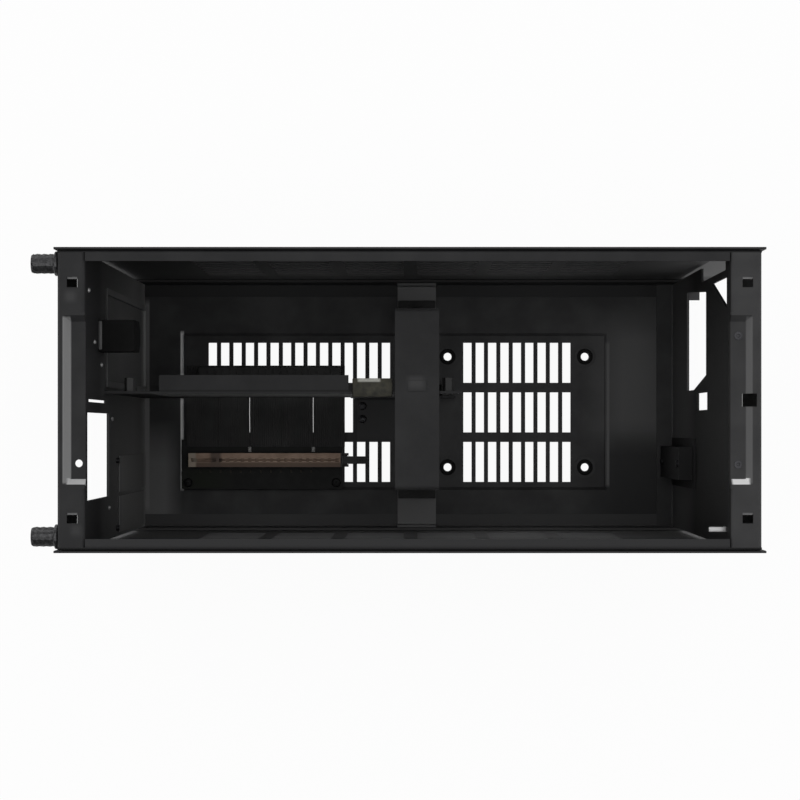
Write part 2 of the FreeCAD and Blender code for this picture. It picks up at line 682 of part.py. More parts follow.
def port_blanking_plate():
    """Plate snapped over the motherboard's port opening, with a shallow pressed middle."""
    body = new_body("port_blanking_plate")
    low, high = port_span()
    near = size.port_offset
    far = near + size.port_width
    lap = size.blank_overlap
    gap = size.blank_gap
    add(body, "YZ", rear_inside, rear_inside + size.cover_sheet,
        [rectangle((near - lap, far + lap), (low - lap, high + lap))])
    add(body, "YZ", rear_inside - size.sheet, rear_inside,
        [rectangle((near + gap, far - gap), (low + gap, high - gap))])
    inner = gap + size.cover_sheet
    cut(body, "YZ", rear_inside - size.sheet + size.cover_sheet, rear_inside + margin,
        [rectangle((near + inner, far - inner), (low + inner, high - inner))])


def slot_covers():
    """Expansion slot covers, each with a tab that passes out through its opening to the clamp."""
    low, high = slot_span()
    thick = size.cover_sheet
    shelf = high - size.cover_gap
    tab_end = rear_inside - size.sheet - size.cover_tab
    for name, y in zip(("inner_slot_cover", "outer_slot_cover"), slot_centres()):
        body = new_body(name)
        profile = [(rear_inside, low - size.cover_tail), (rear_inside + thick, low - size.cover_tail),
                   (rear_inside + thick, shelf, size.bend), (tab_end, shelf), (tab_end, shelf - thick),
                   (rear_inside, shelf - thick)]
        wide = size.cover_width / 2
        narrow = size.slot_width / 2 - size.cover_gap
        add(body, "XZ", y - wide, y + wide, [profile])
        ears = [rectangle((tab_end - margin, rear_inside), (y + narrow, y + wide + margin)),
                rectangle((tab_end - margin, rear_inside), (y - wide - margin, y - narrow))]
        cut(body, "XY", shelf - margin, shelf + margin, ears)


def clamp_screw_places():
    first, second = slot_centres()
    middle = (first + second) / 2
    return [middle + size.clamp_screw_half, middle - size.clamp_screw_half]


def clamp_screw_height():
    return slot_span()[1] - size.cover_gap + size.clamp_height / 2 + size.sheet / 2


def slot_clamp():
    """Folded angle on the outside of the rear wall that holds the slot covers' tabs down."""
    body = new_body("slot_clamp")
    outside = rear_inside - size.sheet
    shelf = slot_span()[1] - size.cover_gap
    profile = [(outside, shelf, outer_bend), (outside, shelf + size.clamp_height),
               (outside - size.sheet, shelf + size.clamp_height),
               (outside - size.sheet, shelf + size.sheet, size.bend),
               (outside - size.clamp_reach, shelf + size.sheet), (outside - size.clamp_reach, shelf)]
    first, second = slot_centres()
    middle = (first + second) / 2
    add(body, "XZ", middle - size.clamp_half, middle + size.clamp_half, [profile])
    hole = size.screw_shank + size.screw_clearance
    holes = [(y, clamp_screw_height(), hole) for y in clamp_screw_places()]
    cut(body, "YZ", outside - size.sheet * 2, outside + margin, circles=holes)


def mains_inlet():
    """Snap-in mains inlet: moulded body with a socket to the rear, and its three blades."""
    body = new_body("mains_inlet")
    outside = rear_inside - size.sheet
    face = outside - size.inlet_flange
    back = rear_inside + size.inlet_depth
    add(body, "YZ", face, outside, [inlet_outline(size.inlet_overlap)])
    add(body, "YZ", outside, back, [inlet_outline(0)])
    socket_floor = back - size.inlet_overlap
    cut(body, "YZ", face - margin, socket_floor, [inlet_outline(-size.inlet_overlap)])
    blades = new_body("mains_inlet_blades")
    middle = inlet_height()
    outlines = []
    for across, up in ((0, 1), (0, -1), (-1, 0)):
        y = size.inlet_offset + size.blade_earth * across
        z = middle + size.blade_spread * up
        thick = size.blade_thick / 2
        wide = size.blade_wide / 2
        outlines.append(rectangle((y - thick, y + thick), (z - wide, z + wide)))
    add(blades, "YZ", face + size.inlet_flange * 2, socket_floor, outlines)


def clamp_screws():
    """Hexagon-head screws that hold the slot clamp."""
    screw = pattern_body("clamp_screw")
    add(screw, "XY", 0, size.screw_head_height, [hexagon(size.screw_head)])
    add(screw, "XY", -size.screw_length, 0, circles=[(0, 0, size.screw_shank)])
    outer = rear_inside - size.sheet * 2
    group("clamp_screws", screw, [(outer, y, clamp_screw_height(), "rear") for y in clamp_screw_places()])


def thumb_screws():
    """Knurled thumb screws in the rear lip."""
    end = size.rear_rim + size.thumb_reach
    radius = size.thumb_radius
    shank = size.thumb_shank
    seat = size.thumb_seat
    collar = size.thumb_collar
    knob = seat + size.thumb_collar_height
    ridge = size.thumb_ridge
    for name, side in (("motherboard_side_thumb_screw", 1), ("graphics_side_thumb_screw", -1)):
        body = new_body(name)
        turned(body, "XZ", [(0, -size.thumb_length), (shank, -size.thumb_length), (shank, seat), (collar, seat),
                            (collar, knob), (radius, knob), (radius, end), (0, end)])
        notch = [(radius - ridge, 0), (radius + ridge, -ridge * 2), (radius + ridge, ridge * 2)]
        groove = cut(body, "XY", knob, end + margin, [notch])
        knurl = body.newObject("PartDesign::PolarPattern", f"{name}_knurl")
        knurl.Originals = [groove]
        knurl.Axis = (next(item for item in body.Origin.OriginFeatures if item.Role == "Z_Axis"), [""])
        knurl.Angle = 360
        tie(knurl, "Occurrences", size.thumb_ridges)
        body.Tip = knurl
        body.Placement = FreeCAD.Placement(FreeCAD.Vector(), TURNS["rear"])
        tie(body, "Placement.Base.x", rear + size.rear_rim)
        tie(body, "Placement.Base.y", thumb_offset() * side)
        tie(body, "Placement.Base.z", top - size.thumb_drop)


riser_under = field_top + size.riser_lift
riser_top = riser_under + size.circuit_board
riser_slot_start = chamber_end - size.riser_slot_rear
riser_slot_end = riser_slot_start + size.riser_slot_length
riser_slot_y = slot_centres()[0] + size.riser_slot_shift
riser_x = chamber_end - size.riser_rear, chamber_end - size.riser_front
riser_y = riser_slot_y - size.riser_right, riser_slot_y + size.riser_left


def riser_post_places():
    inset = size.riser_post_inset
    x_places = riser_x[0] + inset, riser_x[1] - inset
    return [(x, y) for x in x_places for y in (riser_y[0] + inset, riser_y[1] - inset)]


def riser_board():
    """Circuit board that carries the graphics card slot, on four posts above the bottom plate."""
    body = new_body("riser_board")
    add(body, "XY", riser_under, riser_top, [rectangle(riser_x, riser_y)])
    post = pattern_body("riser_post")
    add(post, "XY", 0, size.riser_lift, [hexagon(size.riser_post_radius)])
    group("riser_posts", post, [(x, y, field_top, "up") for x, y in riser_post_places()])


def riser_slot():
    """Moulded slot housing with its keyed groove, and two cheeks that carry the latch."""
    body = new_body("riser_slot")
    start = riser_slot_start
    wide = size.riser_slot_width / 2
    y = riser_slot_y
    crown = riser_top + size.riser_slot_height
    add(body, "XY", riser_top, crown, [rectangle((start, riser_slot_end), (y - wide, y + wide))])
    key = start + size.riser_key
    groove_y = y - size.riser_groove / 2, y + size.riser_groove / 2
    grooves = [rectangle((start + size.riser_end, key), groove_y),
               rectangle((key + size.riser_key_width, riser_slot_end - size.riser_end), groove_y)]
    cut(body, "XY", crown - size.riser_groove_depth, crown + margin, grooves)
    inner = size.latch_width / 2 + size.cheek_gap
    cheek_x = riser_slot_end, riser_slot_end + size.cheek_length
    cheeks = [rectangle(cheek_x, (y + inner, y + wide)), rectangle(cheek_x, (y - wide, y - inner))]
    add(body, "XY", riser_top, riser_top + size.cheek_height, cheeks)
    pivot = riser_slot_end + size.latch_pivot_x, riser_top + size.latch_pivot_z
    cut(body, "XZ", y - wide - margin, y + wide + margin, circles=[(*pivot, size.latch_pin + size.latch_pin_gap)])


def riser_contacts():
    """Two rows of spring contacts along the walls of the slot's groove."""
    body = new_body("riser_contacts")
    first = riser_slot_start + size.riser_key + size.riser_key_width + size.riser_end
    crown = riser_top + size.riser_slot_height
    low = crown - size.riser_groove_depth
    wall = size.riser_groove / 2
    y = riser_slot_y
    strips = [rectangle((first, first + size.contact_width), (y + wall - size.contact_sheet, y + wall)),
              rectangle((first, first + size.contact_width), (y - wall, y - wall + size.contact_sheet))]
    strip = add(body, "XY", low, crown - size.riser_end, strips)
    repeat(body, strip, [("X", size.contact_pitch, size.contact_count)])


def riser_latch():
    """Lever at the end of the slot that locks the card, turning on its own moulded pin."""
    body = new_body("riser_latch")
    x = riser_slot_end + size.latch_pivot_x
    z = riser_top + size.latch_pivot_z
    y = riser_slot_y
    foot = size.latch_foot
    low = z - size.latch_pin - size.latch_pin_gap * 4
    high = z + size.latch_rise
    back = x - size.latch_back
    toe = x + size.latch_reach
    lever = [(x - foot, low), (x + foot, low), (x + foot + size.latch_lip, z + size.cheek_height),
             (toe, high - size.latch_lip), (toe, high), (back, high),
             (back, z + size.cheek_height - size.latch_lip)]
    add(body, "XZ", y - size.latch_width / 2, y + size.latch_width / 2, [lever])
    wide = size.riser_slot_width / 2
    add(body, "XZ", y - wide, y + wide, circles=[(x, z, size.latch_pin)])


def riser_cable():
    """Flat ribbon cables from the slot board under the tray to the plug at the motherboard's edge."""
    ribbons = new_body("riser_ribbons")
    start = chamber_end - size.ribbon_rear
    span = riser_y[1] - size.ribbon_overlap, size.plug_left
    over = riser_top + size.ribbon_sheet
    strip = add(ribbons, "XY", riser_top, over, [rectangle((start, start + size.ribbon_width), span)])
    repeat(ribbons, strip, [("X", size.ribbon_pitch, size.ribbon_count)])
    hood = new_body("riser_plug_hood")
    x = chamber_end - size.plug_rear
    ends = x, x + size.plug_length
    right = size.plug_left - size.plug_depth
    crown = over + size.plug_height
    round_edge = size.plug_height / 4
    profile = [(right, over), (size.plug_left, over), (size.plug_left, crown, round_edge),
               (right, crown, round_edge)]
    add(hood, "YZ", *ends, [profile])
    middle = (over + crown) / 2
    card_low = middle - size.circuit_board / 2
    card_y = right - size.plug_card_reach, right
    card = new_body("riser_plug_card")
    inset = size.plug_card_inset
    key = x + inset + size.riser_key
    blades = [rectangle((x + inset, key), card_y),
              rectangle((key + size.riser_key_width, ends[1] - inset), card_y)]
    add(card, "XY", card_low, card_low + size.circuit_board, blades)


def standoffs():
    """Hexagon stand-offs fixed in the tray, bored from their free end for the board's screws."""
    post = pattern_body("board_standoff")
    long = size.standoff_length
    add(post, "XY", 0, long, [hexagon(size.standoff_radius)])
    cut(post, "XY", long - size.standoff_depth, long + margin, circles=[(0, 0, size.standoff_bore)])
    back = size.tray_y + size.sheet
    group("motherboard_standoffs", post, [(x, back, z, "left") for x, z in standoff_places()])


def feet():
    """Stick-on rubber feet, narrower at the floor."""
    foot = pattern_body("rubber_foot")
    long = size.foot_length / 2
    wide = size.foot_width / 2
    add(foot, "XY", 0, size.foot_height, [rectangle((-long, long), (-wide, wide))], taper=14)
    group("rubber_feet", foot, [(x, y, 0, "up") for x, y in foot_places()])


def catch_springs():
    """Bent spring strips under the square holes that grip the cover's pegs."""
    spring = pattern_body("catch_spring")
    reach = size.catch_length / 2
    start = size.catch_hole / 2 - size.catch_bite
    thick = size.catch_sheet
    back = start + size.catch_width
    profile = [(start, -thick), (start, 0), (back, 0), (back, -size.catch_leg),
               (back - thick, -size.catch_leg), (back - thick, -thick)]
    add(spring, "YZ", -reach, reach, [profile])
    under = top - size.sheet
    y = half - size.catch_side
    ends = rear + size.catch_inset, front - size.catch_inset
    group("catch_springs", spring, [(x, y * side, under, "up") for x in ends for side in (-1, 1)])


module_low, module_high = module_span()
module_middle = -(size.module_near + size.module_far) / 2
module_back = front_inside - size.module_depth
module_board_back = module_back + size.sheet + size.module_boss
module_board_front = module_board_back + size.circuit_board


def module_boss_places():
    return [(module_middle, z) for z in (module_low + size.boss_rise, module_high - size.boss_down)]


def connection_bracket():
    """Pressed pan behind the front wall that carries the connection board on two square bosses."""
    body = new_body("connection_bracket")
    lap = size.module_flange
    across = -size.module_far, -size.module_near
    flange_back = front_inside - size.sheet
    add(body, "YZ", flange_back, front_inside,
        [rectangle((across[0] - lap, across[1] + lap), (module_low - lap, module_high + lap))])
    add(body, "YZ", module_back, flange_back, [rectangle(across, (module_low, module_high))])
    inner = size.sheet
    cut(body, "YZ", module_back + inner, front_inside + margin,
        [rectangle((across[0] + inner, across[1] - inner), (module_low + inner, module_high - inner))])
    reach = size.module_boss_half
    bosses = [rectangle((y - reach, y + reach), (z - reach, z + reach)) for y, z in module_boss_places()]
    add(body, "YZ", module_back + inner, module_board_back, bosses)


def connection_board():
    body = new_body("connection_board")
    inset = size.sheet + size.module_inset
    y_span = -size.module_far + inset, -size.module_near - inset
    add(body, "YZ", module_board_back, module_board_front,
        [rectangle(y_span, (module_low + inset, module_high - inset))])


def usb_port(name, width, height, reach, down, tongue, radius=None):
    """Drawn steel shell, open to the front, with a moulded tongue inside."""
    shell = new_body(f"{name}_shell")
    z = module_high - down
    wall = size.shell_sheet
    end = module_board_front + reach
    y_span = module_middle - width / 2, module_middle + width / 2
    z_span = z - height / 2, z + height / 2
    add(shell, "YZ", module_board_front, end, [rectangle(y_span, z_span, radius)])
    inner = (y_span[0] + wall, y_span[1] - wall), (z_span[0] + wall, z_span[1] - wall)
    inner_radius = None if radius is None else radius - wall
    back = module_board_front + wall
    cut(shell, "YZ", back, end + margin, [rectangle(*inner, inner_radius)])
    tongue_body = new_body(f"{name}_tongue")
    side = (inner[0][0] + wall, inner[0][0] + wall + tongue) if radius is None else (
        module_middle - tongue / 2, module_middle + tongue / 2)
    inset = wall * 3
    add(tongue_body, "YZ", back, end - size.tongue_set_back,
        [rectangle(side, (inner[1][0] + inset, inner[1][1] - inset))])


def connection_ports():
    usb_port("usb_a", size.usb_a_width, size.usb_a_height, size.usb_a_reach, size.usb_a_down, size.usb_a_tongue)
    usb_port("usb_c", size.usb_c_width, size.usb_c_height, size.usb_c_reach, size.usb_c_down, size.usb_c_tongue,
             size.usb_c_width / 2 - size.shell_sheet / 4)
    jack = new_body("audio_jack")
    z = module_high - size.jack_down
    y = module_middle
    end = module_board_front + size.jack_reach
    wide = size.jack_width / 2
    high = size.jack_height / 2
    add(jack, "YZ", module_board_front, end, [rectangle((y - wide, y + wide), (z - high, z + high))])
    cut(jack, "YZ", module_board_front + size.jack_bore, end + margin, circles=[(y, z, size.jack_bore)])


def power_button():
    """Push switch on the board, and the cap whose stem slides in it."""
    switch = new_body("power_switch")
    z = module_high - size.button_down
    y = module_middle
    wide = size.switch_width / 2
    face = module_board_front + size.switch_reach
    add(switch, "YZ", module_board_front, face, [rectangle((y - wide, y + wide), (z - wide, z + wide))])
    bore = size.button_stem + size.button_gap
    cut(switch, "YZ", module_board_front + size.button_gap * 2, face + margin, circles=[(y, z, bore)])
    cap = new_body("power_button")
    under = face + size.button_lift
    stem_end = face - size.button_lift
    add(cap, "YZ", stem_end, under, circles=[(y, z, size.button_stem)])
    add(cap, "YZ", under, under + size.button_cap, circles=[(y, z, size.button_radius)])


bottom_plate()
rear_wall()
front_wall()
rails()
motherboard_tray()
standoffs()
centre_bridge()
side_panels()
panel_tongues()
port_blanking_plate()
slot_covers()
slot_clamp()
clamp_screws()
mains_inlet()
thumb_screws()
catch_springs()
riser_board()
riser_slot()
riser_contacts()
riser_latch()
riser_cable()
feet()
connection_bracket()
connection_board()
connection_ports()
power_button()

doc.recompute()
for item in doc.Objects:
    if {"Invalid", "Error"} & set(item.State):
        raise RuntimeError(f"{item.Label} failed: {item.State}")
for label, item in parts.items():
    if item.Shape.isNull() or not item.Shape.isValid():
        raise RuntimeError(f"{label} has no valid shape")
os.makedirs("parts", exist_ok=True)
for label, item in parts.items():
    item.Shape.exportStep(f"parts/{label}.step")
    print(label, len(item.Shape.Solids), round(item.Shape.Volume, 1))
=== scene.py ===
"""Looks of an open mini-ITX computer case, seen straight from above on white."""

import json
import math

import bmesh
import bpy
from mathutils import Matrix, Vector


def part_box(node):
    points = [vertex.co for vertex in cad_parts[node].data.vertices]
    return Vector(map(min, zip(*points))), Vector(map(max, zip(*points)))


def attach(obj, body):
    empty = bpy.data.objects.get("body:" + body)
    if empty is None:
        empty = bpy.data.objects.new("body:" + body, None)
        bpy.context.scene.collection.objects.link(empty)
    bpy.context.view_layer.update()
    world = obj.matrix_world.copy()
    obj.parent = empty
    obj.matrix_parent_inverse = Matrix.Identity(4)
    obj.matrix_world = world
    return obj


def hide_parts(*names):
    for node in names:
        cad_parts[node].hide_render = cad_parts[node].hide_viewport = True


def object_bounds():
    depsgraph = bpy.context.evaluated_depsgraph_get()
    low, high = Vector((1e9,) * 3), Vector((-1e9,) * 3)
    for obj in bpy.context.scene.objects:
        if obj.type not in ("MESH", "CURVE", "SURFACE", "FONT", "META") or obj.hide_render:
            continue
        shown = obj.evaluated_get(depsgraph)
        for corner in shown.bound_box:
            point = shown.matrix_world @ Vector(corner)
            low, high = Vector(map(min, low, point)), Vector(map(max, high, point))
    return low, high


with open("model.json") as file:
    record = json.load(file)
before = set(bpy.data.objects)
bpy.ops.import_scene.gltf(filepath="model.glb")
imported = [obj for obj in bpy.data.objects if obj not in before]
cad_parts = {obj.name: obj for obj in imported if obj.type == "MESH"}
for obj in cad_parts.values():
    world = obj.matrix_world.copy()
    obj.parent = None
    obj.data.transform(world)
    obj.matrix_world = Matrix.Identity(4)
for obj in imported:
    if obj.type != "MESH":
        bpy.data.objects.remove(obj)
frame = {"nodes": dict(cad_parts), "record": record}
bounds_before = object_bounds()
MM = 0.001


# Bottom plate: folded steel with a raised field, pressed in one stroke, and slots punched through it.
# Its matt black powder coat has a faint orange peel, with painted highlights along the pressed steps at
# the rear and front of the field, and broad patches of painted light and shade.
def surface_group():
    """Node group for a finish: patches of two colours, a range of roughness and a fine grain."""
    group = bpy.data.node_groups.new("finish", "ShaderNodeTree")
    inputs = (("Vector", "NodeSocketVector"), ("Dark", "NodeSocketColor"), ("Light", "NodeSocketColor"),
              ("Patch", "NodeSocketFloat"), ("Grain", "NodeSocketFloat"),
              ("Smooth", "NodeSocketFloat"), ("Rough", "NodeSocketFloat"))
    outputs = (("Color", "NodeSocketColor"), ("Roughness", "NodeSocketFloat"), ("Height", "NodeSocketFloat"))
    for name, kind in inputs:
        group.interface.new_socket(name, in_out="INPUT", socket_type=kind)
    for name, kind in outputs:
        group.interface.new_socket(name, in_out="OUTPUT", socket_type=kind)
    nodes = group.nodes
    link = group.links.new
    given = nodes.new("NodeGroupInput")
    result = nodes.new("NodeGroupOutput")
    patch = nodes.new("ShaderNodeTexNoise")
    patch.inputs["Detail"].default_value = 5
    grain = nodes.new("ShaderNodeTexNoise")
    grain.inputs["Detail"].default_value = 2
    spread = nodes.new("ShaderNodeMapRange")
    spread.inputs["From Min"].default_value = 0.35
    spread.inputs["From Max"].default_value = 0.65
    colour = nodes.new("ShaderNodeMix")
    colour.data_type = "RGBA"
    rough = nodes.new("ShaderNodeMapRange")
    link(given.outputs["Vector"], patch.inputs["Vector"])
    link(given.outputs["Vector"], grain.inputs["Vector"])
    link(given.outputs["Patch"], patch.inputs["Scale"])
    link(given.outputs["Grain"], grain.inputs["Scale"])
    link(patch.outputs["Fac"], spread.inputs["Value"])
    link(spread.outputs["Result"], colour.inputs["Factor"])
    link(given.outputs["Dark"], colour.inputs["A"])
    link(given.outputs["Light"], colour.inputs["B"])
    link(grain.outputs["Fac"], rough.inputs["Value"])
    link(given.outputs["Smooth"], rough.inputs["To Min"])
    link(given.outputs["Rough"], rough.inputs["To Max"])
    link(colour.outputs["Result"], result.inputs["Color"])
    link(rough.outputs["Result"], result.inputs["Roughness"])
    link(grain.outputs["Fac"], result.inputs["Height"])
    return group


def band_group():
    """Node group for a mask that is one inside a box and fades out at its faces."""
    group = bpy.data.node_groups.new("band", "ShaderNodeTree")
    for name in ("Vector", "Low", "High", "Soft"):
        group.interface.new_socket(name, in_out="INPUT", socket_type="NodeSocketVector")
    group.interface.new_socket("Mask", in_out="OUTPUT", socket_type="NodeSocketFloat")
    nodes = group.nodes
    link = group.links.new
    given = nodes.new("NodeGroupInput")
    result = nodes.new("NodeGroupOutput")

    def joined(operation, first, second):
        node = nodes.new("ShaderNodeVectorMath")
        node.operation = operation
        link(first, node.inputs[0])
        if isinstance(second, tuple):
            node.inputs[1].default_value = second
        else:
            link(second, node.inputs[1])
        return node.outputs["Vector"]

    def faded(first, second):
        depth = joined("DIVIDE", joined("SUBTRACT", first, second), given.outputs["Soft"])
        return joined("MAXIMUM", joined("MINIMUM", depth, (1, 1, 1)), (0, 0, 0))

    above = faded(given.outputs["Vector"], given.outputs["Low"])
    below = faded(given.outputs["High"], given.outputs["Vector"])
    split = nodes.new("ShaderNodeSeparateXYZ")
    link(joined("MULTIPLY", above, below), split.inputs[0])
    flat = nodes.new("ShaderNodeMath")
    flat.operation = "MULTIPLY"
    link(split.outputs["X"], flat.inputs[0])
    link(split.outputs["Y"], flat.inputs[1])
    whole = nodes.new("ShaderNodeMath")
    whole.operation = "MULTIPLY"
    link(flat.outputs[0], whole.inputs[0])
    link(split.outputs["Z"], whole.inputs[1])
    link(whole.outputs[0], result.inputs["Mask"])
    return group


finish_group = surface_group()
mask_group = band_group()
GRAIN_HEIGHT = 0.1


def finish(name, dark, light, smooth, rough, patch=60, grain=1800, bump=0.15, metallic=0, gloss=0.5):
    """Material of two near colours in patches, with grain in its gloss and its surface."""
    material = bpy.data.materials.new(name)
    material.use_nodes = True
    nodes = material.node_tree.nodes
    link = material.node_tree.links.new
    shader = nodes["Principled BSDF"]
    shader.inputs["Metallic"].default_value = metallic
    shader.inputs["Specular IOR Level"].default_value = gloss
    place = nodes.new("ShaderNodeTexCoord")
    look = nodes.new("ShaderNodeGroup")
    look.node_tree = finish_group
    look.inputs["Dark"].default_value = (*dark, 1)
    look.inputs["Light"].default_value = (*light, 1)
    look.inputs["Patch"].default_value = patch
    look.inputs["Grain"].default_value = grain
    look.inputs["Smooth"].default_value = smooth
    look.inputs["Rough"].default_value = rough
    relief = nodes.new("ShaderNodeBump")
    relief.inputs["Strength"].default_value = bump
    relief.inputs["Distance"].default_value = GRAIN_HEIGHT * MM
    link(place.outputs["Object"], look.inputs["Vector"])
    link(look.outputs["Color"], shader.inputs["Base Color"])
    link(look.outputs["Roughness"], shader.inputs["Roughness"])
    link(look.outputs["Height"], relief.inputs["Height"])
    link(relief.outputs["Normal"], shader.inputs["Normal"])
    return material


WHOLE = (-400, 400, 1)


def tint(material, colour, x=WHOLE, y=WHOLE, z=WHOLE):
    """Another colour inside a box. Each axis gives its low end, high end and fade, in millimetres."""
    nodes = material.node_tree.nodes
    link = material.node_tree.links.new
    target = nodes["Principled BSDF"].inputs["Base Color"]
    place = nodes.new("ShaderNodeTexCoord")
    mask = nodes.new("ShaderNodeGroup")
    mask.node_tree = mask_group
    for name, corner in zip(("Low", "High", "Soft"), zip(x, y, z)):
        mask.inputs[name].default_value = [value * MM for value in corner]
    mixed = nodes.new("ShaderNodeMix")
    mixed.data_type = "RGBA"
    mixed.inputs["B"].default_value = (*colour, 1)
    link(place.outputs["Object"], mask.inputs["Vector"])
    link(mask.outputs["Mask"], mixed.inputs["Factor"])
    link(target.links[0].from_socket, mixed.inputs["A"])
    link(mixed.outputs["Result"], target)


def grey(level):
    """Neutral grey."""
    return (level, level, level)


def cool_grey(level):
    """Grey with a touch of blue, as black coats and plating have."""
    return (level, level, level + 0.001)


def powder_coat(name, dark, light, smooth=0.66, rough=0.78, grain=1800):
    """Matt coat in patches of two levels of grey."""
    return finish(name, cool_grey(dark), cool_grey(light), smooth, rough, grain=grain, gloss=0.3)


def paint(material, *names):
    """Give CAD nodes a material in place of the one they came with."""
    for name in names:
        mesh = frame["nodes"][name].data
        mesh.materials.clear()
        mesh.materials.append(material)


plate_coat = powder_coat("plate_coat", 0.037, 0.055, smooth=0.7, rough=0.82)
UPPER_SKIN = (4.9, 7.4, 0.2)
# Broad patches of painted light in the front chamber and at the rear, and of painted shade in the
# graphics-side corner.
tint(plate_coat, cool_grey(0.10), x=(100, 170, 24), y=(-30, 58, 22), z=UPPER_SKIN)
tint(plate_coat, cool_grey(0.03), x=(96, 170, 24), y=(-75, -14, 14), z=UPPER_SKIN)
tint(plate_coat, cool_grey(0.15), x=(-170, -122, 10), y=(-100, -8, 24), z=UPPER_SKIN)
# Painted highlights at the foot of the rear wall and along the rear and front steps of the field.
tint(plate_coat, cool_grey(0.20), x=(-144, -140.4, 0.6), y=(-60, 60, 4), z=UPPER_SKIN)
tint(plate_coat, cool_grey(0.90), x=(-123.6, -121.2, 0.5), y=(-48, 42, 2), z=UPPER_SKIN)
tint(plate_coat, cool_grey(0.13), x=(113.8, 116.8, 0.5), y=(-46, 36, 2), z=UPPER_SKIN)
paint(plate_coat, "bottom_plate")


# Rings round the four drive holes: black rubber rings with a round edge, set over the bosses, that stand
# in for the shade round the holes as painted shade.
def lathe(bm, profile, steps, place):
    """Turn a profile of radius and height, in millimetres, about its axis, and put it in place."""
    before = set(bm.verts)
    points = [bm.verts.new((radius * MM, 0, height * MM)) for radius, height in profile]
    edges = [bm.edges.new(pair) for pair in zip(points, points[1:])]
    bmesh.ops.spin(bm, geom=points + edges, angle=2 * math.pi, steps=steps, axis=(0, 0, 1), cent=(0, 0, 0),
                   use_merge=True)
    fresh = [vert for vert in bm.verts if vert not in before]
    bmesh.ops.remove_doubles(bm, verts=fresh, dist=0.0005 * MM)
    fresh = [vert for vert in bm.verts if vert not in before]
    bmesh.ops.transform(bm, matrix=place, verts=fresh)


def piece(name, bm, material, body="frame", round_below=40):
    """Finished mesh as an object that rides on a body. Edges under the given angle are shaded round."""
    bmesh.ops.recalc_face_normals(bm, faces=bm.faces)
    mesh = bpy.data.meshes.new(name)
    bm.to_mesh(mesh)
    bm.free()
    mesh.shade_smooth()
    mesh.set_sharp_from_angle(angle=math.radians(round_below))
    mesh.materials.append(material)
    made = bpy.data.objects.new(name, mesh)
    bpy.context.collection.objects.link(made)
    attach(made, body)
    return made


def arc(x, z, radius, start, stop, count):
    """Points on an arc of a profile, with its angles in degrees."""
    angles = [math.radians(start + (stop - start) * step / count) for step in range(count + 1)]
    return [(x + radius * math.cos(angle), z + radius * math.sin(angle)) for angle in angles]


def at(x, y, z):
    """Move to a place in millimetres."""
    return Matrix.Translation(Vector((x, y, z)) * MM)


shade_ring_rubber = finish("shade_ring_rubber", grey(0.004), grey(0.008), 0.7, 0.85, gloss=0.2)
RING_RADIUS = 3.5
RING_HEIGHT = 0.45
RING_THICKNESS = 1.8
RING_STEPS = 32
ring_section = arc(RING_RADIUS, RING_HEIGHT, RING_THICKNESS / 2, -150, 210, 12)
drive = next(mount for mount in frame["record"]["mounts"] if mount["name"] == "drive_holes")
plate_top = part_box("bottom_plate")[1].z / MM
ring_mesh = bmesh.new()
for x_side in (-0.5, 0.5):
    for y_side in (-0.5, 0.5):
        x = drive["pos_m"][0] / MM + drive["dims"]["spacing_x_mm"] * x_side
        y = drive["pos_m"][1] / MM + drive["dims"]["spacing_y_mm"] * y_side
        lathe(ring_mesh, ring_section, RING_STEPS, at(x, y, plate_top))
piece("drive_hole_shade_rings", ring_mesh, shade_ring_rubber)


# Blind rivets: black steel domes that join the bottom plate to the rails from below, and a flat pair set
# in the joggle of the front flange.
black_zinc = finish("black_zinc", (0.02, 0.02, 0.022), (0.035, 0.035, 0.038), 0.3, 0.45, metallic=0.8)
DOME_HEAD = [(0, 0.9), (0.9, 0.85), (1.7, 0.55), (2.2, 0.15), (2.25, 0)]
FLAT_HEAD = [(0, 0.15), (0.6, 0.1), (0.8, 0.35), (1.9, 0.3), (2.0, 0)]
RIVET_STEPS = 20
RIVET_COLUMNS = (-112, -40, 40, 108)
RIVET_SIDE = 64.5
FLANGE_RIVET_X = 156
FLANGE_RIVET_SIDE = 29.5
FLANGE_FLOOR = 237.2
rivet_mesh = bmesh.new()
upside_down = Matrix.Rotation(math.pi, 4, "X")
plate_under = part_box("bottom_plate")[0].z / MM
for x in RIVET_COLUMNS:
    for y in (-RIVET_SIDE, RIVET_SIDE):
        lathe(rivet_mesh, DOME_HEAD, RIVET_STEPS, at(x, y, plate_under) @ upside_down)
for y in (-FLANGE_RIVET_SIDE, FLANGE_RIVET_SIDE):
    lathe(rivet_mesh, FLAT_HEAD, RIVET_STEPS, at(FLANGE_RIVET_X, y, FLANGE_FLOOR))
piece("rivets", rivet_mesh, black_zinc)


# Feet: four rubber pads, moulded with a draft and a fine skin. They are stuck to the underside of the
# bottom plate near its corners.
foot_rubber = finish("foot_rubber", grey(0.012), grey(0.02), 0.7, 0.85)
paint(foot_rubber, "rubber_feet")


# Rear and front walls: each one sheet, folded into foot, upright, top flange and lip, with a shallow
# joggle pressed along the flange. They are powder coated after folding.
TOP_FACE = (239, 241, 0.3)
JOGGLE_LENGTH = (-38.6, 38.6, 1)
JOGGLE_SIDE = (230, 240.4, 0.3)
JOGGLE_END = (-39.2, -35.6, 0.3)
JOGGLE_END_HEIGHT = (237.3, 239.9, 0.2)
rear_coat = powder_coat("rear_coat", 0.017, 0.025)
# Painted shade darkens the inner face under the flange, and painted light makes it paler towards the plate.
REAR_INNER_FACE = (-143.5, -142, 0.3)
tint(rear_coat, cool_grey(0.011), x=REAR_INNER_FACE, z=(180, 400, 16))
tint(rear_coat, cool_grey(0.19), x=REAR_INNER_FACE, z=(-300, 190, 130))
tint(rear_coat, cool_grey(0.30), x=REAR_INNER_FACE, z=(-300, 26, 16))
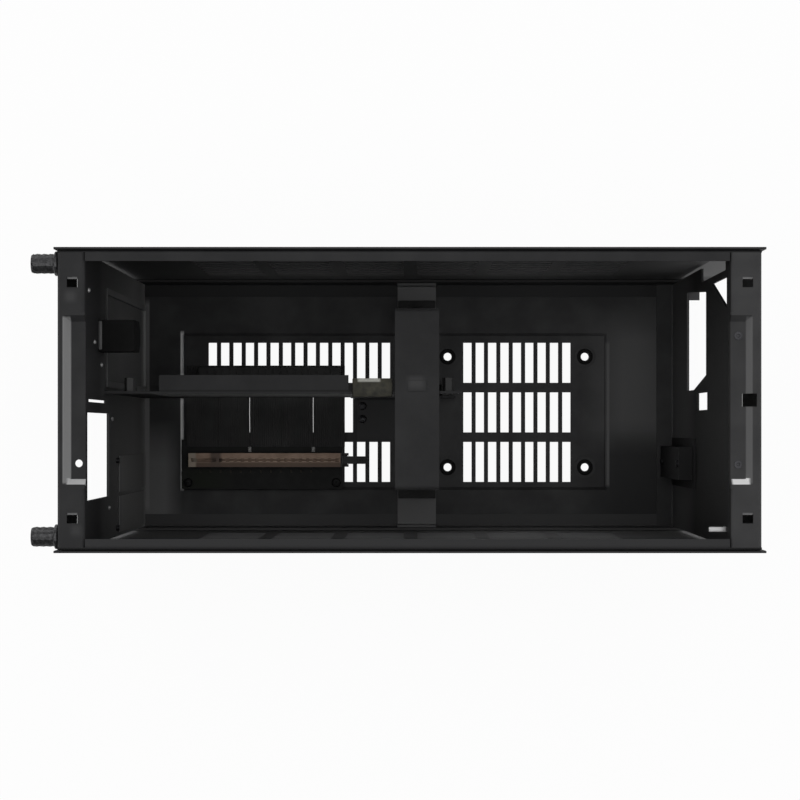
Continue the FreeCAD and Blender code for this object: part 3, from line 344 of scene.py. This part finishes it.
# The flange has two painted glints, and the joggle's long side and one end have painted highlights.
tint(rear_coat, cool_grey(0.04), x=(-153.4, -146.2, 2.6), y=(43.8, 51, 2.6), z=TOP_FACE)
tint(rear_coat, cool_grey(0.035), x=(-150.8, -143.6, 2.6), y=(-63.2, -56, 2.6), z=TOP_FACE)
tint(rear_coat, cool_grey(0.20), x=(-153.6, -149.6, 0.5), y=JOGGLE_LENGTH, z=JOGGLE_SIDE)
tint(rear_coat, cool_grey(0.40), x=(-152, -142, 1), y=JOGGLE_END, z=JOGGLE_END_HEIGHT)
paint(rear_coat, "rear_wall")
front_coat = powder_coat("front_coat", 0.031, 0.043)
# Painted shade darkens the inner face high up, painted light makes it paler low down, and the joggle's long
# side and one end have painted highlights.
tint(front_coat, grey(0.006), x=(145, 152.6, 0.4), z=(40, 300, 60))
tint(front_coat, cool_grey(0.11), x=(151.2, 152.6, 0.3), z=(-300, 110, 80))
tint(front_coat, cool_grey(0.11), x=(159.2, 162.4, 0.5), y=JOGGLE_LENGTH, z=JOGGLE_SIDE)
tint(front_coat, cool_grey(0.70), x=(152.6, 161.5, 1), y=JOGGLE_END, z=JOGGLE_END_HEIGHT)
paint(front_coat, "front_wall")


# Rails along both sides: folded sheet angles between the walls, two at the top and two at the bottom,
# coated like the walls and slotted for the tongues of the panels.
MOTHERBOARD_HALF = (0, 100, 1)
GRAPHICS_HALF = (-100, 0, 1)
BOTTOM_RAILS = (-20, 40, 8)
TOP_RAILS = (200, 300, 8)
rail_coat = powder_coat("rail_coat", 0.015, 0.022)
# Painted light makes the bottom rails paler, most on the graphics side, and the graphics-side top rail a
# little paler.
tint(rail_coat, cool_grey(0.055), y=GRAPHICS_HALF, z=BOTTOM_RAILS)
tint(rail_coat, cool_grey(0.024), y=MOTHERBOARD_HALF, z=BOTTOM_RAILS)
tint(rail_coat, cool_grey(0.025), y=GRAPHICS_HALF, z=TOP_RAILS)
paint(rail_coat, "motherboard_side_top_rail", "motherboard_side_bottom_rail", "graphics_side_top_rail",
      "graphics_side_bottom_rail")


# Side panels: flat steel sheet with punched rows of vents, in a slightly coarser coat of the same black.
# They are held by tongues alone and pull straight off.
MOTHERBOARD_INNER_FACE = (60, 69.1, 0.09)
GRAPHICS_INNER_FACE = (-69.4, -60, 0.3)
panel_coat = powder_coat("panel_coat", 0.013, 0.019, grain=1400)
# Painted light makes the inner faces paler low down and beyond the front wall, and the cut walls of the
# vents are dark.
tint(panel_coat, cool_grey(0.07), x=(-200, 152, 1), y=MOTHERBOARD_INNER_FACE, z=(-60, 170, 130))
tint(panel_coat, cool_grey(0.17), x=(152, 200, 0.5), y=MOTHERBOARD_INNER_FACE, z=(40, 220, 20))
tint(panel_coat, cool_grey(0.13), y=GRAPHICS_INNER_FACE, z=(-60, 170, 70))
tint(panel_coat, grey(0.003), y=(69.12, 69.88, 0.05), z=(-60, 235, 1))
paint(panel_coat, "motherboard_side_panel", "graphics_side_panel")


# Tongues on the panels, the sprung channels on the rails that grip them, and the catch springs under
# the square holes: thin spring steel, blackened, bent in a press.
spring_steel = finish("spring_steel", (0.03, 0.03, 0.032), (0.05, 0.05, 0.052), 0.35, 0.5, metallic=0.7)
paint(spring_steel, "motherboard_side_tongues", "graphics_side_tongues", "motherboard_side_clips",
      "graphics_side_clips")
catch_steel = finish("catch_steel", (0.10, 0.10, 0.102), (0.15, 0.15, 0.152), 0.4, 0.55, metallic=0.2)
paint(catch_steel, "catch_springs")


# Motherboard tray and centre bridge: upright sheet between the chambers and the folded portal that
# ties it to both bottom rails. The tray's top flange and foot are folded from the same sheet.
tray_coat = powder_coat("tray_coat", 0.016, 0.023)
# Painted light makes the graphics-side face paler near its top, painted shade draws a dark line in the
# flange's fold, and the foot is paler.
tint(tray_coat, cool_grey(0.23), x=(-124, 0, 4), y=(3, 4.4, 0.3), z=(60, 176, 30))
tint(tray_coat, grey(0.006), x=(-126, 0, 3), y=(4.7, 5.9, 0.35), z=(172, 177, 0.5))
tint(tray_coat, cool_grey(0.045), x=(-150, 40, 1), y=(-30, 3.5, 1), z=(0, 14, 2))
paint(tray_coat, "motherboard_tray")
bridge_coat = powder_coat("bridge_coat", 0.022, 0.03)
# The pressed tab on top is rubbed, and painted light makes the feet paler than the legs.
tint(bridge_coat, cool_grey(0.055), x=(3, 13.6, 3), y=(5, 13.4, 3), z=(176, 180, 0.5))
tint(bridge_coat, cool_grey(0.15), x=(-3, 21, 0.5), z=(0, 24, 8))
paint(bridge_coat, "centre_bridge")


# Screws of the tray's foot: two black steel pan heads with a round recess, side by side, which hold the
# foot to the bottom plate.
def pan_head(bm, x, y, z, radius, height):
    """Screw head with a round crown and a recess."""
    recess = [(0, height * 0.35), (radius * 0.28, height * 0.35), (radius * 0.34, height)]
    crown = [(radius * 0.75, height * 0.86), (radius * 0.96, height * 0.4), (radius, 0)]
    lathe(bm, recess + crown, 24, at(x, y, z))


FOOT_SCREWS = ((-21.5, -0.3), (-21.5, -7.6))
FOOT_TOP = 8
screw_mesh = bmesh.new()
for x, y in FOOT_SCREWS:
    pan_head(screw_mesh, x, y, FOOT_TOP, radius=2.3, height=1.4)
piece("tray_foot_screws", screw_mesh, black_zinc)


# Edge guard: a short olive nylon channel pushed over the tray's top edge beside the bridge, where
# leads cross from one chamber to the other. Its brim carries a pale painted highlight.
def block(bm, low, high, edge, segments=2):
    """Box between two corners in millimetres, with rounded edges."""
    made = bmesh.ops.create_cube(bm, size=1)["verts"]
    size = Vector(high) - Vector(low)
    middle = (Vector(high) + Vector(low)) / 2
    bmesh.ops.scale(bm, vec=size * MM, verts=made)
    bmesh.ops.translate(bm, vec=middle * MM, verts=made)
    edges = list({line for vert in made for line in vert.link_edges})
    bmesh.ops.bevel(bm, geom=edges, offset=edge * MM, affect="EDGES", segments=segments, profile=0.5,
                    material=-1)


guard_nylon = finish("guard_nylon", (0.012, 0.0115, 0.008), (0.045, 0.042, 0.027), 0.5, 0.65, patch=240,
                     gloss=0.3)
# Painted highlight along the brim.
tint(guard_nylon, (0.42, 0.42, 0.38), x=(-20.4, -8.6, 1), y=(9.4, 12, 0.6), z=(170, 180, 1))
GUARD_REAR = -22.6
GUARD_FRONT = -3.2
GUARD_BRIM = (2.4, 11.4)
GUARD_LEGS = ((2.4, 3.9), (5.3, 6.8))
GUARD_DEPTH = 5
GUARD_WALL = 1.1
LEG_OVERLAP = 0.6
tray_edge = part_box("motherboard_tray")[1].z / MM
guard_mesh = bmesh.new()
block(guard_mesh, (GUARD_REAR, GUARD_BRIM[0], tray_edge),
      (GUARD_FRONT, GUARD_BRIM[1], tray_edge + GUARD_WALL), edge=0.5)
for low_y, high_y in GUARD_LEGS:
    block(guard_mesh, (GUARD_REAR, low_y, tray_edge - GUARD_DEPTH),
          (GUARD_FRONT, high_y, tray_edge + LEG_OVERLAP), edge=0.4)
piece("edge_guard", guard_mesh, guard_nylon)


# Shade strips: dense black foam blocks laid across the bridge's two feet beside its legs, standing in for
# the shadow in the gaps beside the crown as painted shade.
shade_foam = finish("shade_foam", grey(0.03), grey(0.045), 0.85, 0.95, grain=900, bump=0.5, gloss=0.1)
FOAM_ENDS = (-1.6, 19.2)
FOAM_STRIPS = ((54.3, 58.4), (-51.8, -46.6))
FOAM_THICKNESS = 2
foam_mesh = bmesh.new()
for low_y, high_y in FOAM_STRIPS:
    block(foam_mesh, (FOAM_ENDS[0], low_y, FOOT_TOP),
          (FOAM_ENDS[1], high_y, FOOT_TOP + FOAM_THICKNESS), edge=0.4)
piece("shade_strips", foam_mesh, shade_foam)


# Stand-offs for the motherboard: hexagon pillars of blackened steel, pressed into the tray. The front
# ones, on the tray's ears, are darker.
standoff_steel = finish("standoff_steel", grey(0.02), grey(0.032), 0.5, 0.65, metallic=0.2)
tint(standoff_steel, grey(0.006), x=(15, 40, 1), y=(0, 20, 1), z=(0, 200, 1))
paint(standoff_steel, "motherboard_standoffs")


# Blanking plate, slot covers and the bar that clamps them: thin coated sheet over the rear openings,
# held by two hexagon screws. Like the wall, their inner faces have painted light that makes them paler low
# down.
COVER_INNER_FACE = (-142.8, -140, 0.3)
BLANKING_INNER_FACE = (-143.9, -140, 0.3)
BLANKING_RECESS = (-143.9, -142.8, 0.3)
BLANKING_SIDE = (10, 70, 1)
COVER_SIDE = (-70, 10, 1)
cover_coat = powder_coat("cover_coat", 0.017, 0.025)
tint(cover_coat, cool_grey(0.19), x=COVER_INNER_FACE, z=(-300, 230, 120))
tint(cover_coat, cool_grey(0.14), x=BLANKING_RECESS, y=BLANKING_SIDE, z=(-300, 230, 120))
tint(cover_coat, cool_grey(0.32), x=COVER_INNER_FACE, y=COVER_SIDE, z=(-300, 22, 10))
tint(cover_coat, cool_grey(0.32), x=BLANKING_INNER_FACE, y=BLANKING_SIDE, z=(-300, 22, 10))
paint(cover_coat, "port_blanking_plate", "slot_clamp", "inner_slot_cover", "outer_slot_cover")
paint(black_zinc, "clamp_screws")


# Mains inlet: a moulded black nylon socket snapped into the rear wall, with three nickel blades and a
# sprung steel clip across its top that bears on the inside of the wall.
inlet_nylon = finish("inlet_nylon", grey(0.004), grey(0.0075), 0.7, 0.85, gloss=0.1)
paint(inlet_nylon, "mains_inlet")
nickel = finish("nickel", (0.42, 0.42, 0.41), (0.55, 0.55, 0.54), 0.25, 0.4, metallic=1)
paint(nickel, "mains_inlet_blades", "usb_a_shell", "usb_c_shell")
clip_steel = finish("clip_steel", cool_grey(0.05), cool_grey(0.08), 0.4, 0.55, gloss=0.4)
CLIP_ENDS = (24.6, 38.2)
CLIP_REACH = (0.1, 1.8)
CLIP_HEIGHT = (195.1, 196.2)
wall_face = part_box("rear_wall")[1].x / MM
clip_mesh = bmesh.new()
block(clip_mesh, (wall_face + CLIP_REACH[0], CLIP_ENDS[0], CLIP_HEIGHT[0]),
      (wall_face + CLIP_REACH[1], CLIP_ENDS[1], CLIP_HEIGHT[1]), edge=0.3)
piece("inlet_clip", clip_mesh, clip_steel)


# Pins in the rear wall: bright steel rivet ends, closed from the outside, which show on the inner face
# beside the inlet, the flange and the slot clamp.
pin_steel = finish("pin_steel", grey(0.30), grey(0.42), 0.35, 0.5, metallic=0.5)
PIN_HEAD = [(0, 1.0), (0.6, 0.9), (1.0, 0.5), (1.1, 0)]
PINS = ((50.9, 229), (17.6, 186.3), (27.7, 210), (-8.2, 147), (-52, 158))
inward = Matrix.Rotation(math.pi / 2, 4, "Y")
pin_mesh = bmesh.new()
for y, z in PINS:
    lathe(pin_mesh, PIN_HEAD, 16, at(wall_face, y, z) @ inward)
piece("wall_pins", pin_mesh, pin_steel)


# Thumb screws: turned steel, black plated, with a plain collar and a diamond knurl rolled on the knob.
# They hold the top cover and turn by hand in the ears of the rear wall's lip.
thumb_zinc = finish("thumb_zinc", cool_grey(0.028), (0.07, 0.07, 0.072), 0.3, 0.5, patch=900, metallic=0.7)
KNURL_TEETH = 20
KNURL_ROWS = 6
KNURL_DEPTH = 0.9
COLLAR_RADIUS = 5.7
COLLAR_HEIGHT = 1.6
COLLAR_EDGE = 0.3
KNOB_RADIUS = 4.6
KNOB_EDGE = 0.6
NECK_DEPTH = 0.4
NECK_LENGTH = 0.6
KNOB_END_LENGTH = 0.9
DIMPLE_DEPTH = 0.5
SHANK_RADIUS = 1.7
THREAD_ROOT = 1.4
THREAD_PITCH = 0.5
THREAD_LENGTH = 7
THREAD_STEPS = 24
LIP_FACE = -155.9
SEAT = 0.3
ROUNDING = 0.01
collar_top = SEAT + COLLAR_HEIGHT
knob_end = LIP_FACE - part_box("motherboard_side_thumb_screw")[0].x / MM
knurl_low = collar_top + NECK_LENGTH
knurl_high = knob_end - KNOB_END_LENGTH
knurl_length = knurl_high - knurl_low
knob_profile = [(SHANK_RADIUS, SEAT), (COLLAR_RADIUS - COLLAR_EDGE, SEAT),
                (COLLAR_RADIUS, SEAT + COLLAR_EDGE), (COLLAR_RADIUS, collar_top - COLLAR_EDGE),
                (COLLAR_RADIUS - COLLAR_EDGE, collar_top), (KNOB_RADIUS - NECK_DEPTH, collar_top)]
knob_profile += [(KNOB_RADIUS, knurl_low + knurl_length * row / KNURL_ROWS) for row in range(KNURL_ROWS + 1)]
knob_profile += [(KNOB_RADIUS - KNOB_EDGE, knob_end), (KNOB_RADIUS * 0.45, knob_end),
                 (KNOB_RADIUS * 0.35, knob_end - DIMPLE_DEPTH), (0, knob_end - DIMPLE_DEPTH)]
thread_profile = [(0, -THREAD_LENGTH)]
for turn in range(round(THREAD_LENGTH / THREAD_PITCH)):
    groove = turn * THREAD_PITCH - THREAD_LENGTH
    thread_profile += [(THREAD_ROOT, groove), (SHANK_RADIUS, groove + THREAD_PITCH / 2)]
thread_profile.append((SHANK_RADIUS, SEAT))
for side in ("motherboard_side", "graphics_side"):
    node = f"{side}_thumb_screw"
    middle = (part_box(node)[0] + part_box(node)[1]) / 2 / MM
    outward = at(LIP_FACE, middle.y, middle.z) @ Matrix.Rotation(-math.pi / 2, 4, "Y")
    thumb_mesh = bmesh.new()
    lathe(thumb_mesh, knob_profile, KNURL_TEETH, Matrix.Identity(4))
    for vert in thumb_mesh.verts:
        height = vert.co.z / MM
        if knurl_low - ROUNDING <= height <= knurl_high + ROUNDING:
            tooth = round(math.atan2(vert.co.y, vert.co.x) / (2 * math.pi) * KNURL_TEETH)
            row = round((height - knurl_low) / knurl_length * KNURL_ROWS)
            if (tooth + row) % 2:
                vert.co.xy *= 1 - KNURL_DEPTH / KNOB_RADIUS
    lathe(thumb_mesh, thread_profile, THREAD_STEPS, Matrix.Identity(4))
    bmesh.ops.transform(thumb_mesh, matrix=outward, verts=thumb_mesh.verts)
    screw = piece(f"{side}_thumb_knob", thumb_mesh, thumb_zinc, body=node, round_below=8)
    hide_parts(node)


# Riser board: a short black circuit board on four hexagon posts, with a card slot along its middle.
# Two of its screws show, and a row of small capacitors is soldered beside the slot.
board_mask = finish("board_mask", (0.0052, 0.0055, 0.0054), (0.0095, 0.01, 0.0097), 0.6, 0.72, patch=160,
                    gloss=0.25)
tint(board_mask, (0.009, 0.012, 0.006), x=(-128, -92, 16), y=(-47, -34.5, 2), z=(11, 13, 0.4))
paint(board_mask, "riser_board", "connection_board", "riser_plug_card")
paint(standoff_steel, "riser_posts")
board_low, board_high = (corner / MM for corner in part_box("riser_board"))
board_top = board_high.z
SCREW_INSET = 3.5
dark_zinc = finish("dark_zinc", grey(0.006), grey(0.011), 0.5, 0.65, metallic=0.2, gloss=0.2)
riser_screws = bmesh.new()
for x in (board_low.x + SCREW_INSET, board_high.x - SCREW_INSET):
    pan_head(riser_screws, x, board_low.y + SCREW_INSET, board_top, radius=2.6, height=1.5)
piece("riser_screws", riser_screws, dark_zinc)

ceramic = finish("ceramic", (0.016, 0.015, 0.011), (0.03, 0.027, 0.02), 0.5, 0.65, patch=300, gloss=0.2)
CAPACITOR_COUNT = 12
CAPACITOR_PITCH = 5.6
CAPACITOR_START = -112
CAPACITOR_ROW = (-37.6, -36.0)
CAPACITOR_WIDTH = 1.0
CAPACITOR_HEIGHT = 0.8
capacitor_mesh = bmesh.new()
for index in range(CAPACITOR_COUNT):
    x = CAPACITOR_START + CAPACITOR_PITCH * index
    block(capacitor_mesh, (x, CAPACITOR_ROW[0], board_top),
          (x + CAPACITOR_WIDTH, CAPACITOR_ROW[1], board_top + CAPACITOR_HEIGHT), edge=0.12, segments=1)
piece("riser_capacitors", capacitor_mesh, ceramic)


# Pegs between the ribbons: two pale nylon posts on the riser board, in two of the gaps between the
# ribbons, that stand in for the light showing through those gaps as painted light.
gap_light_nylon = finish("gap_light_nylon", (0.28, 0.28, 0.275), (0.36, 0.36, 0.355), 0.5, 0.65, gloss=0.3)
PEG_PLACES = (-84.0, -48.7)
PEG_WIDTH = 1.8
PEG_LENGTH = (-25.9, -23.1)
PEG_HEIGHT = 2.2
peg_mesh = bmesh.new()
for x in PEG_PLACES:
    block(peg_mesh, (x - PEG_WIDTH / 2, PEG_LENGTH[0], board_top),
          (x + PEG_WIDTH / 2, PEG_LENGTH[1], board_top + PEG_HEIGHT), edge=0.3)
piece("gap_light_pegs", peg_mesh, gap_light_nylon)


# Card slot: brown moulded housing, soldered to the riser board, with a key across it and two rows of
# sprung contacts down its groove. The moulding is paler at its rear end, and its cheeks are black.
brown_plastic = finish("brown_plastic", (0.27, 0.178, 0.125), (0.38, 0.255, 0.185), 0.5, 0.65, patch=200,
                       gloss=0.4)
HOUSING_HEIGHT = (10, 30, 1)
HOUSING_WIDTH = (-35, -25, 1)
# Painted shade darkens the graphics-side half of the housing.
tint(brown_plastic, (0.12, 0.075, 0.05), x=(-130, -20, 1), y=(-36, -30.9, 1.2), z=HOUSING_HEIGHT)
tint(brown_plastic, (0.36, 0.30, 0.235), x=(-118, -112.5, 1.2), y=HOUSING_WIDTH, z=HOUSING_HEIGHT)
tint(brown_plastic, (0.10, 0.065, 0.047), x=(-106, -98.5, 1.6), y=HOUSING_WIDTH, z=HOUSING_HEIGHT)
tint(brown_plastic, (0.022, 0.017, 0.015), x=(-33.6, -28, 0.5), y=(-40, -20, 1), z=HOUSING_HEIGHT)
paint(brown_plastic, "riser_slot")
contact_bronze = finish("contact_bronze", (0.42, 0.31, 0.22), (0.56, 0.43, 0.32), 0.4, 0.55, metallic=0.2)
paint(contact_bronze, "riser_contacts")


# Latch of the card slot: a black moulded lever that turns on its own pin between two cheeks, with a
# ribbed thumb pad on its toe.
latch_plastic = finish("latch_plastic", grey(0.004), grey(0.008), 0.45, 0.6, gloss=0.3)
paint(latch_plastic, "riser_latch")
LATCH_RIBS = 4
LATCH_RIB_PITCH = 1.5
LATCH_RIB_INSET = 1.2
LATCH_RIB_LENGTH = (-32.0, -28.6)
LATCH_RIB_WIDTH = 0.7
RIB_SINK = 0.1
RIB_HEIGHT = 0.35
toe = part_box("riser_latch")[1] / MM
rib_mesh = bmesh.new()
for index in range(LATCH_RIBS):
    x = toe.x - LATCH_RIB_INSET - LATCH_RIB_PITCH * index
    block(rib_mesh, (x - LATCH_RIB_WIDTH / 2, LATCH_RIB_LENGTH[0], toe.z - RIB_SINK),
          (x + LATCH_RIB_WIDTH / 2, LATCH_RIB_LENGTH[1], toe.z + RIB_HEIGHT), edge=0.15, segments=1)
piece("latch_ribs", rib_mesh, latch_plastic, body="riser_latch")


# Ribbon cables: five flat bundles of fine wires in a ridged black jacket, soldered to the riser board,
# arched a little under the tray and clamped by the plug's hood.
jacket = finish("jacket", grey(0.018), grey(0.029), 0.5, 0.65, gloss=0.3)
RIBBON_COUNT = 5
RIBBON_GAP = 0.16
RIBBON_WIRES = 15
RIBBON_STEPS = 24
STEPS_PER_WIRE = 4
WIRE_RELIEF = 0.25
JACKET = 0.6
RIBBON_ARCH = 1.6
ribbon_low, ribbon_high = (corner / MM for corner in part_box("riser_ribbons"))
ribbon_pitch = (ribbon_high.x - ribbon_low.x + RIBBON_GAP) / RIBBON_COUNT
ribbon_width = ribbon_pitch - RIBBON_GAP
ribbon_length = ribbon_high.y - ribbon_low.y
free_start = board_high.y
free_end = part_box("riser_plug_hood")[0].y / MM
ribbon_mesh = bmesh.new()
for index in range(RIBBON_COUNT):
    start = ribbon_low.x + ribbon_pitch * index
    middle = Vector((start + ribbon_width / 2, (ribbon_low.y + ribbon_high.y) / 2, ribbon_low.z + JACKET))
    grid = bmesh.ops.create_grid(ribbon_mesh, x_segments=RIBBON_WIRES * STEPS_PER_WIRE,
                                 y_segments=RIBBON_STEPS, size=0.5)
    strip = grid["verts"]
    bmesh.ops.scale(ribbon_mesh, vec=(ribbon_width * MM, ribbon_length * MM, 1), verts=strip)
    bmesh.ops.translate(ribbon_mesh, vec=middle * MM, verts=strip)
    for vert in strip:
        across = (vert.co.x / MM - start) / ribbon_width
        along = (vert.co.y / MM - free_start) / (free_end - free_start)
        along = min(max(along, 0), 1)
        relief = WIRE_RELIEF * abs(math.sin(math.pi * RIBBON_WIRES * across))
        vert.co.z += (relief + RIBBON_ARCH * math.sin(math.pi * along) ** 2) * MM
bmesh.ops.solidify(ribbon_mesh, geom=ribbon_mesh.faces, thickness=JACKET * MM)
ribbons = piece("ridged_ribbons", ribbon_mesh, jacket, round_below=50)
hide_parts("riser_ribbons")


# Plug of the riser: a black moulded hood over the card that goes into the motherboard's slot, with a
# row of ribs that grip the fingers.
hood_plastic = finish("hood_plastic", grey(0.031), grey(0.044), 0.6, 0.75, gloss=0.25)
paint(hood_plastic, "riser_plug_hood")
HOOD_RIBS = 18
HOOD_RIB_WIDTH = 1
HOOD_END_MARGIN = 5
HOOD_SIDE_MARGIN = 1.8
hood_low, hood_high = (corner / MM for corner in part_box("riser_plug_hood"))
hood_rib_pitch = (hood_high.x - hood_low.x - 2 * HOOD_END_MARGIN) / (HOOD_RIBS - 1)
hood_mesh = bmesh.new()
for index in range(HOOD_RIBS):
    x = hood_low.x + HOOD_END_MARGIN + hood_rib_pitch * index
    block(hood_mesh, (x - HOOD_RIB_WIDTH / 2, hood_low.y + HOOD_SIDE_MARGIN, hood_high.z - RIB_SINK),
          (x + HOOD_RIB_WIDTH / 2, hood_high.y - HOOD_SIDE_MARGIN, hood_high.z + RIB_HEIGHT),
          edge=0.2, segments=1)
piece("hood_ribs", hood_mesh, hood_plastic)


# Front connection module: a folded bracket behind the front wall that carries a small board with a
# round button on its switch, an audio jack and two ports with nickel shells and gilt contacts.
module_coat = finish("module_coat", (0.009, 0.009, 0.0095), (0.014, 0.014, 0.0145), 0.6, 0.75, gloss=0.2)
paint(module_coat, "connection_bracket")
port_plastic = finish("port_plastic", grey(0.006), grey(0.011), 0.45, 0.6)
paint(port_plastic, "usb_a_tongue", "usb_c_tongue", "audio_jack", "power_switch")
button_plastic = finish("button_plastic", cool_grey(0.01), cool_grey(0.016), 0.2, 0.3)
paint(button_plastic, "power_button")
gilt = finish("gilt", (0.5, 0.34, 0.13), (0.65, 0.45, 0.19), 0.25, 0.4, metallic=1)
CONTACT_SINK = 0.02
contact_mesh = bmesh.new()


def contact_row(node, count, first, pitch, width, height, length, set_back, edge):
    """Flat contacts in a row up one face of a port's tongue."""
    tongue_low, tongue_high = (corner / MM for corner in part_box(node))
    for index in range(count):
        z = tongue_low.z + first + pitch * index
        low = (tongue_high.x - length, tongue_high.y - CONTACT_SINK, z - width / 2)
        high = (tongue_high.x - set_back, tongue_high.y + height, z + width / 2)
        block(contact_mesh, low, high, edge, segments=1)


contact_row("usb_a_tongue", count=4, first=1.6, pitch=2.2, width=1, height=0.12, length=7,
            set_back=0.4, edge=0.05)
contact_row("usb_c_tongue", count=8, first=0.75, pitch=0.6, width=0.3, height=0.07, length=4,
            set_back=0.3, edge=0.03)
piece("port_contacts", contact_mesh, gilt)

MODULE_HEAD = [(0, 0.5), (0.6, 0.5), (0.7, 1.2), (1.6, 1.0), (2.1, 0.4), (2.2, 0)]
MODULE_SCREW_DEPTH = 4.8
MODULE_SCREW_RISE = 6
MODULE_SCREW_DROP = 3
module_low, module_high = (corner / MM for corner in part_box("connection_board"))
facing_back = Matrix.Rotation(-math.pi / 2, 4, "Y")
module_screws = bmesh.new()
for z in (module_low.z + MODULE_SCREW_RISE, module_high.z - MODULE_SCREW_DROP):
    place = at(module_high.x - MODULE_SCREW_DEPTH, (module_low.y + module_high.y) / 2, z)
    lathe(module_screws, MODULE_HEAD, 20, place @ facing_back)
piece("module_screws", module_screws, black_zinc)


# Catch tab: a small bright steel angle, spot welded to the inside of the front wall beside the
# graphics-side rail, which draws the top cover down.
FRONT_FACE = 151.8
TAB_SINK = 0.1
TAB_TIP = 143.4
TAB_SIDES = (-60.8, -58.4)
TAB_HEIGHTS = (222, 230)
TAB_SHEET = 1
TAB_LEG = 0.8
tab_mesh = bmesh.new()
tab_corner = (FRONT_FACE + TAB_SINK, TAB_SIDES[1], TAB_HEIGHTS[1])
block(tab_mesh, (TAB_TIP, TAB_SIDES[0], TAB_HEIGHTS[1] - TAB_SHEET), tab_corner, edge=0.3)
block(tab_mesh, (FRONT_FACE - TAB_LEG, TAB_SIDES[0], TAB_HEIGHTS[0]), tab_corner, edge=0.3)
piece("catch_tab", tab_mesh, pin_steel)


# White sweep under the case: it shows as plain white to the camera and in reflections, and keeps a faint
# share of the case's shadow. It lies just under the feet.
SHADOW_SHARE = 0.05
FLOOR_REACH = 40
FLOOR_DROP = 0.1
floor_mesh = bmesh.new()
bmesh.ops.create_grid(floor_mesh, x_segments=1, y_segments=1, size=FLOOR_REACH)
bmesh.ops.translate(floor_mesh, vec=(0, 0, -FLOOR_DROP * MM), verts=floor_mesh.verts)
floor_data = bpy.data.meshes.new("floor")
floor_mesh.to_mesh(floor_data)
floor_mesh.free()
floor = bpy.data.objects.new("floor", floor_data)
bpy.context.collection.objects.link(floor)
floor_material = bpy.data.materials.new("white_sweep")
floor_material.use_nodes = True
nodes = floor_material.node_tree.nodes
link = floor_material.node_tree.links.new
nodes.clear()
output = nodes.new("ShaderNodeOutputMaterial")
rays = nodes.new("ShaderNodeLightPath")
seen = nodes.new("ShaderNodeMath")
seen.operation = "MAXIMUM"
seen_through = nodes.new("ShaderNodeMath")
seen_through.operation = "MAXIMUM"
share = nodes.new("ShaderNodeMath")
share.operation = "MULTIPLY"
share.inputs[1].default_value = 1 - SHADOW_SHARE
glow = nodes.new("ShaderNodeEmission")
glow.inputs["Color"].default_value = (1, 1, 1, 1)
glow.inputs["Strength"].default_value = 1
matt = nodes.new("ShaderNodeBsdfDiffuse")
matt.inputs["Color"].default_value = (0.9, 0.9, 0.9, 1)
blend = nodes.new("ShaderNodeMixShader")
link(rays.outputs["Is Camera Ray"], seen.inputs[0])
link(rays.outputs["Is Glossy Ray"], seen.inputs[1])
link(seen.outputs[0], seen_through.inputs[0])
link(rays.outputs["Is Transmission Ray"], seen_through.inputs[1])
link(seen_through.outputs[0], share.inputs[0])
link(share.outputs[0], blend.inputs["Fac"])
link(matt.outputs[0], blend.inputs[1])
link(glow.outputs[0], blend.inputs[2])
link(blend.outputs[0], output.inputs["Surface"])
floor_data.materials.append(floor_material)


# Soft white studio: pale all round, darker towards the graphics side, with a wide lamp overhead and
# low strip lamps in front, behind and on the motherboard side that light the pressed slopes.
WORLD_STRENGTH = 0.45
GRAPHICS_SIDE_SHARE = 0.2
world = bpy.data.worlds.new("studio")
bpy.context.scene.world = world
world.use_nodes = True
nodes = world.node_tree.nodes
link = world.node_tree.links.new
background = nodes["Background"]
background.inputs["Strength"].default_value = WORLD_STRENGTH
direction = nodes.new("ShaderNodeTexCoord")
split = nodes.new("ShaderNodeSeparateXYZ")
shade = nodes.new("ShaderNodeMapRange")
shade.inputs["From Min"].default_value = -0.9
shade.inputs["From Max"].default_value = 0.1
shade.inputs["To Min"].default_value = GRAPHICS_SIDE_SHARE
shade.inputs["To Max"].default_value = 1
tone = nodes.new("ShaderNodeCombineColor")
link(direction.outputs["Generated"], split.inputs[0])
link(split.outputs["Y"], shade.inputs["Value"])
for channel in ("Red", "Green", "Blue"):
    link(shade.outputs["Result"], tone.inputs[channel])
link(tone.outputs["Color"], background.inputs["Color"])
case_top = Vector((0, 0, bounds_before[1][2]))


def lamp(name, place, width, height, watts):
    """Area lamp that faces the top of the case."""
    data = bpy.data.lights.new(name, "AREA")
    data.shape = "RECTANGLE"
    data.size = width
    data.size_y = height
    data.energy = watts
    made = bpy.data.objects.new(name, data)
    made.location = place
    made.rotation_euler = (case_top - Vector(place)).to_track_quat("-Z", "Y").to_euler()
    bpy.context.collection.objects.link(made)


LAMP_WIDTH = 1.6
STRIP_HEIGHT = 0.5
lamp("overhead", (0, 0, 2.2), LAMP_WIDTH, LAMP_WIDTH, watts=16)
lamp("front_strip", (2.0, 0, 0.62), LAMP_WIDTH, STRIP_HEIGHT, watts=7)
lamp("rear_strip", (-2.0, 0, 0.62), LAMP_WIDTH, STRIP_HEIGHT, watts=7)
lamp("side_strip", (0, 2.0, 0.62), LAMP_WIDTH, STRIP_HEIGHT, watts=10)


# Camera straight above, on the line of sight that the parallax of the walls gives. Its shift centres the
# case in the frame as the photograph does.
camera_data = bpy.data.cameras.new("camera")
camera_data.lens = 103.35
camera_data.sensor_width = 36
camera_data.shift_x = -0.01875
camera_data.shift_y = 0.0375
camera = bpy.data.objects.new("camera", camera_data)
camera.location = (0.0078, -0.0137, 1.290)
bpy.context.collection.objects.link(camera)
bpy.context.scene.camera = camera
bpy.context.scene.view_settings.view_transform = "Standard"
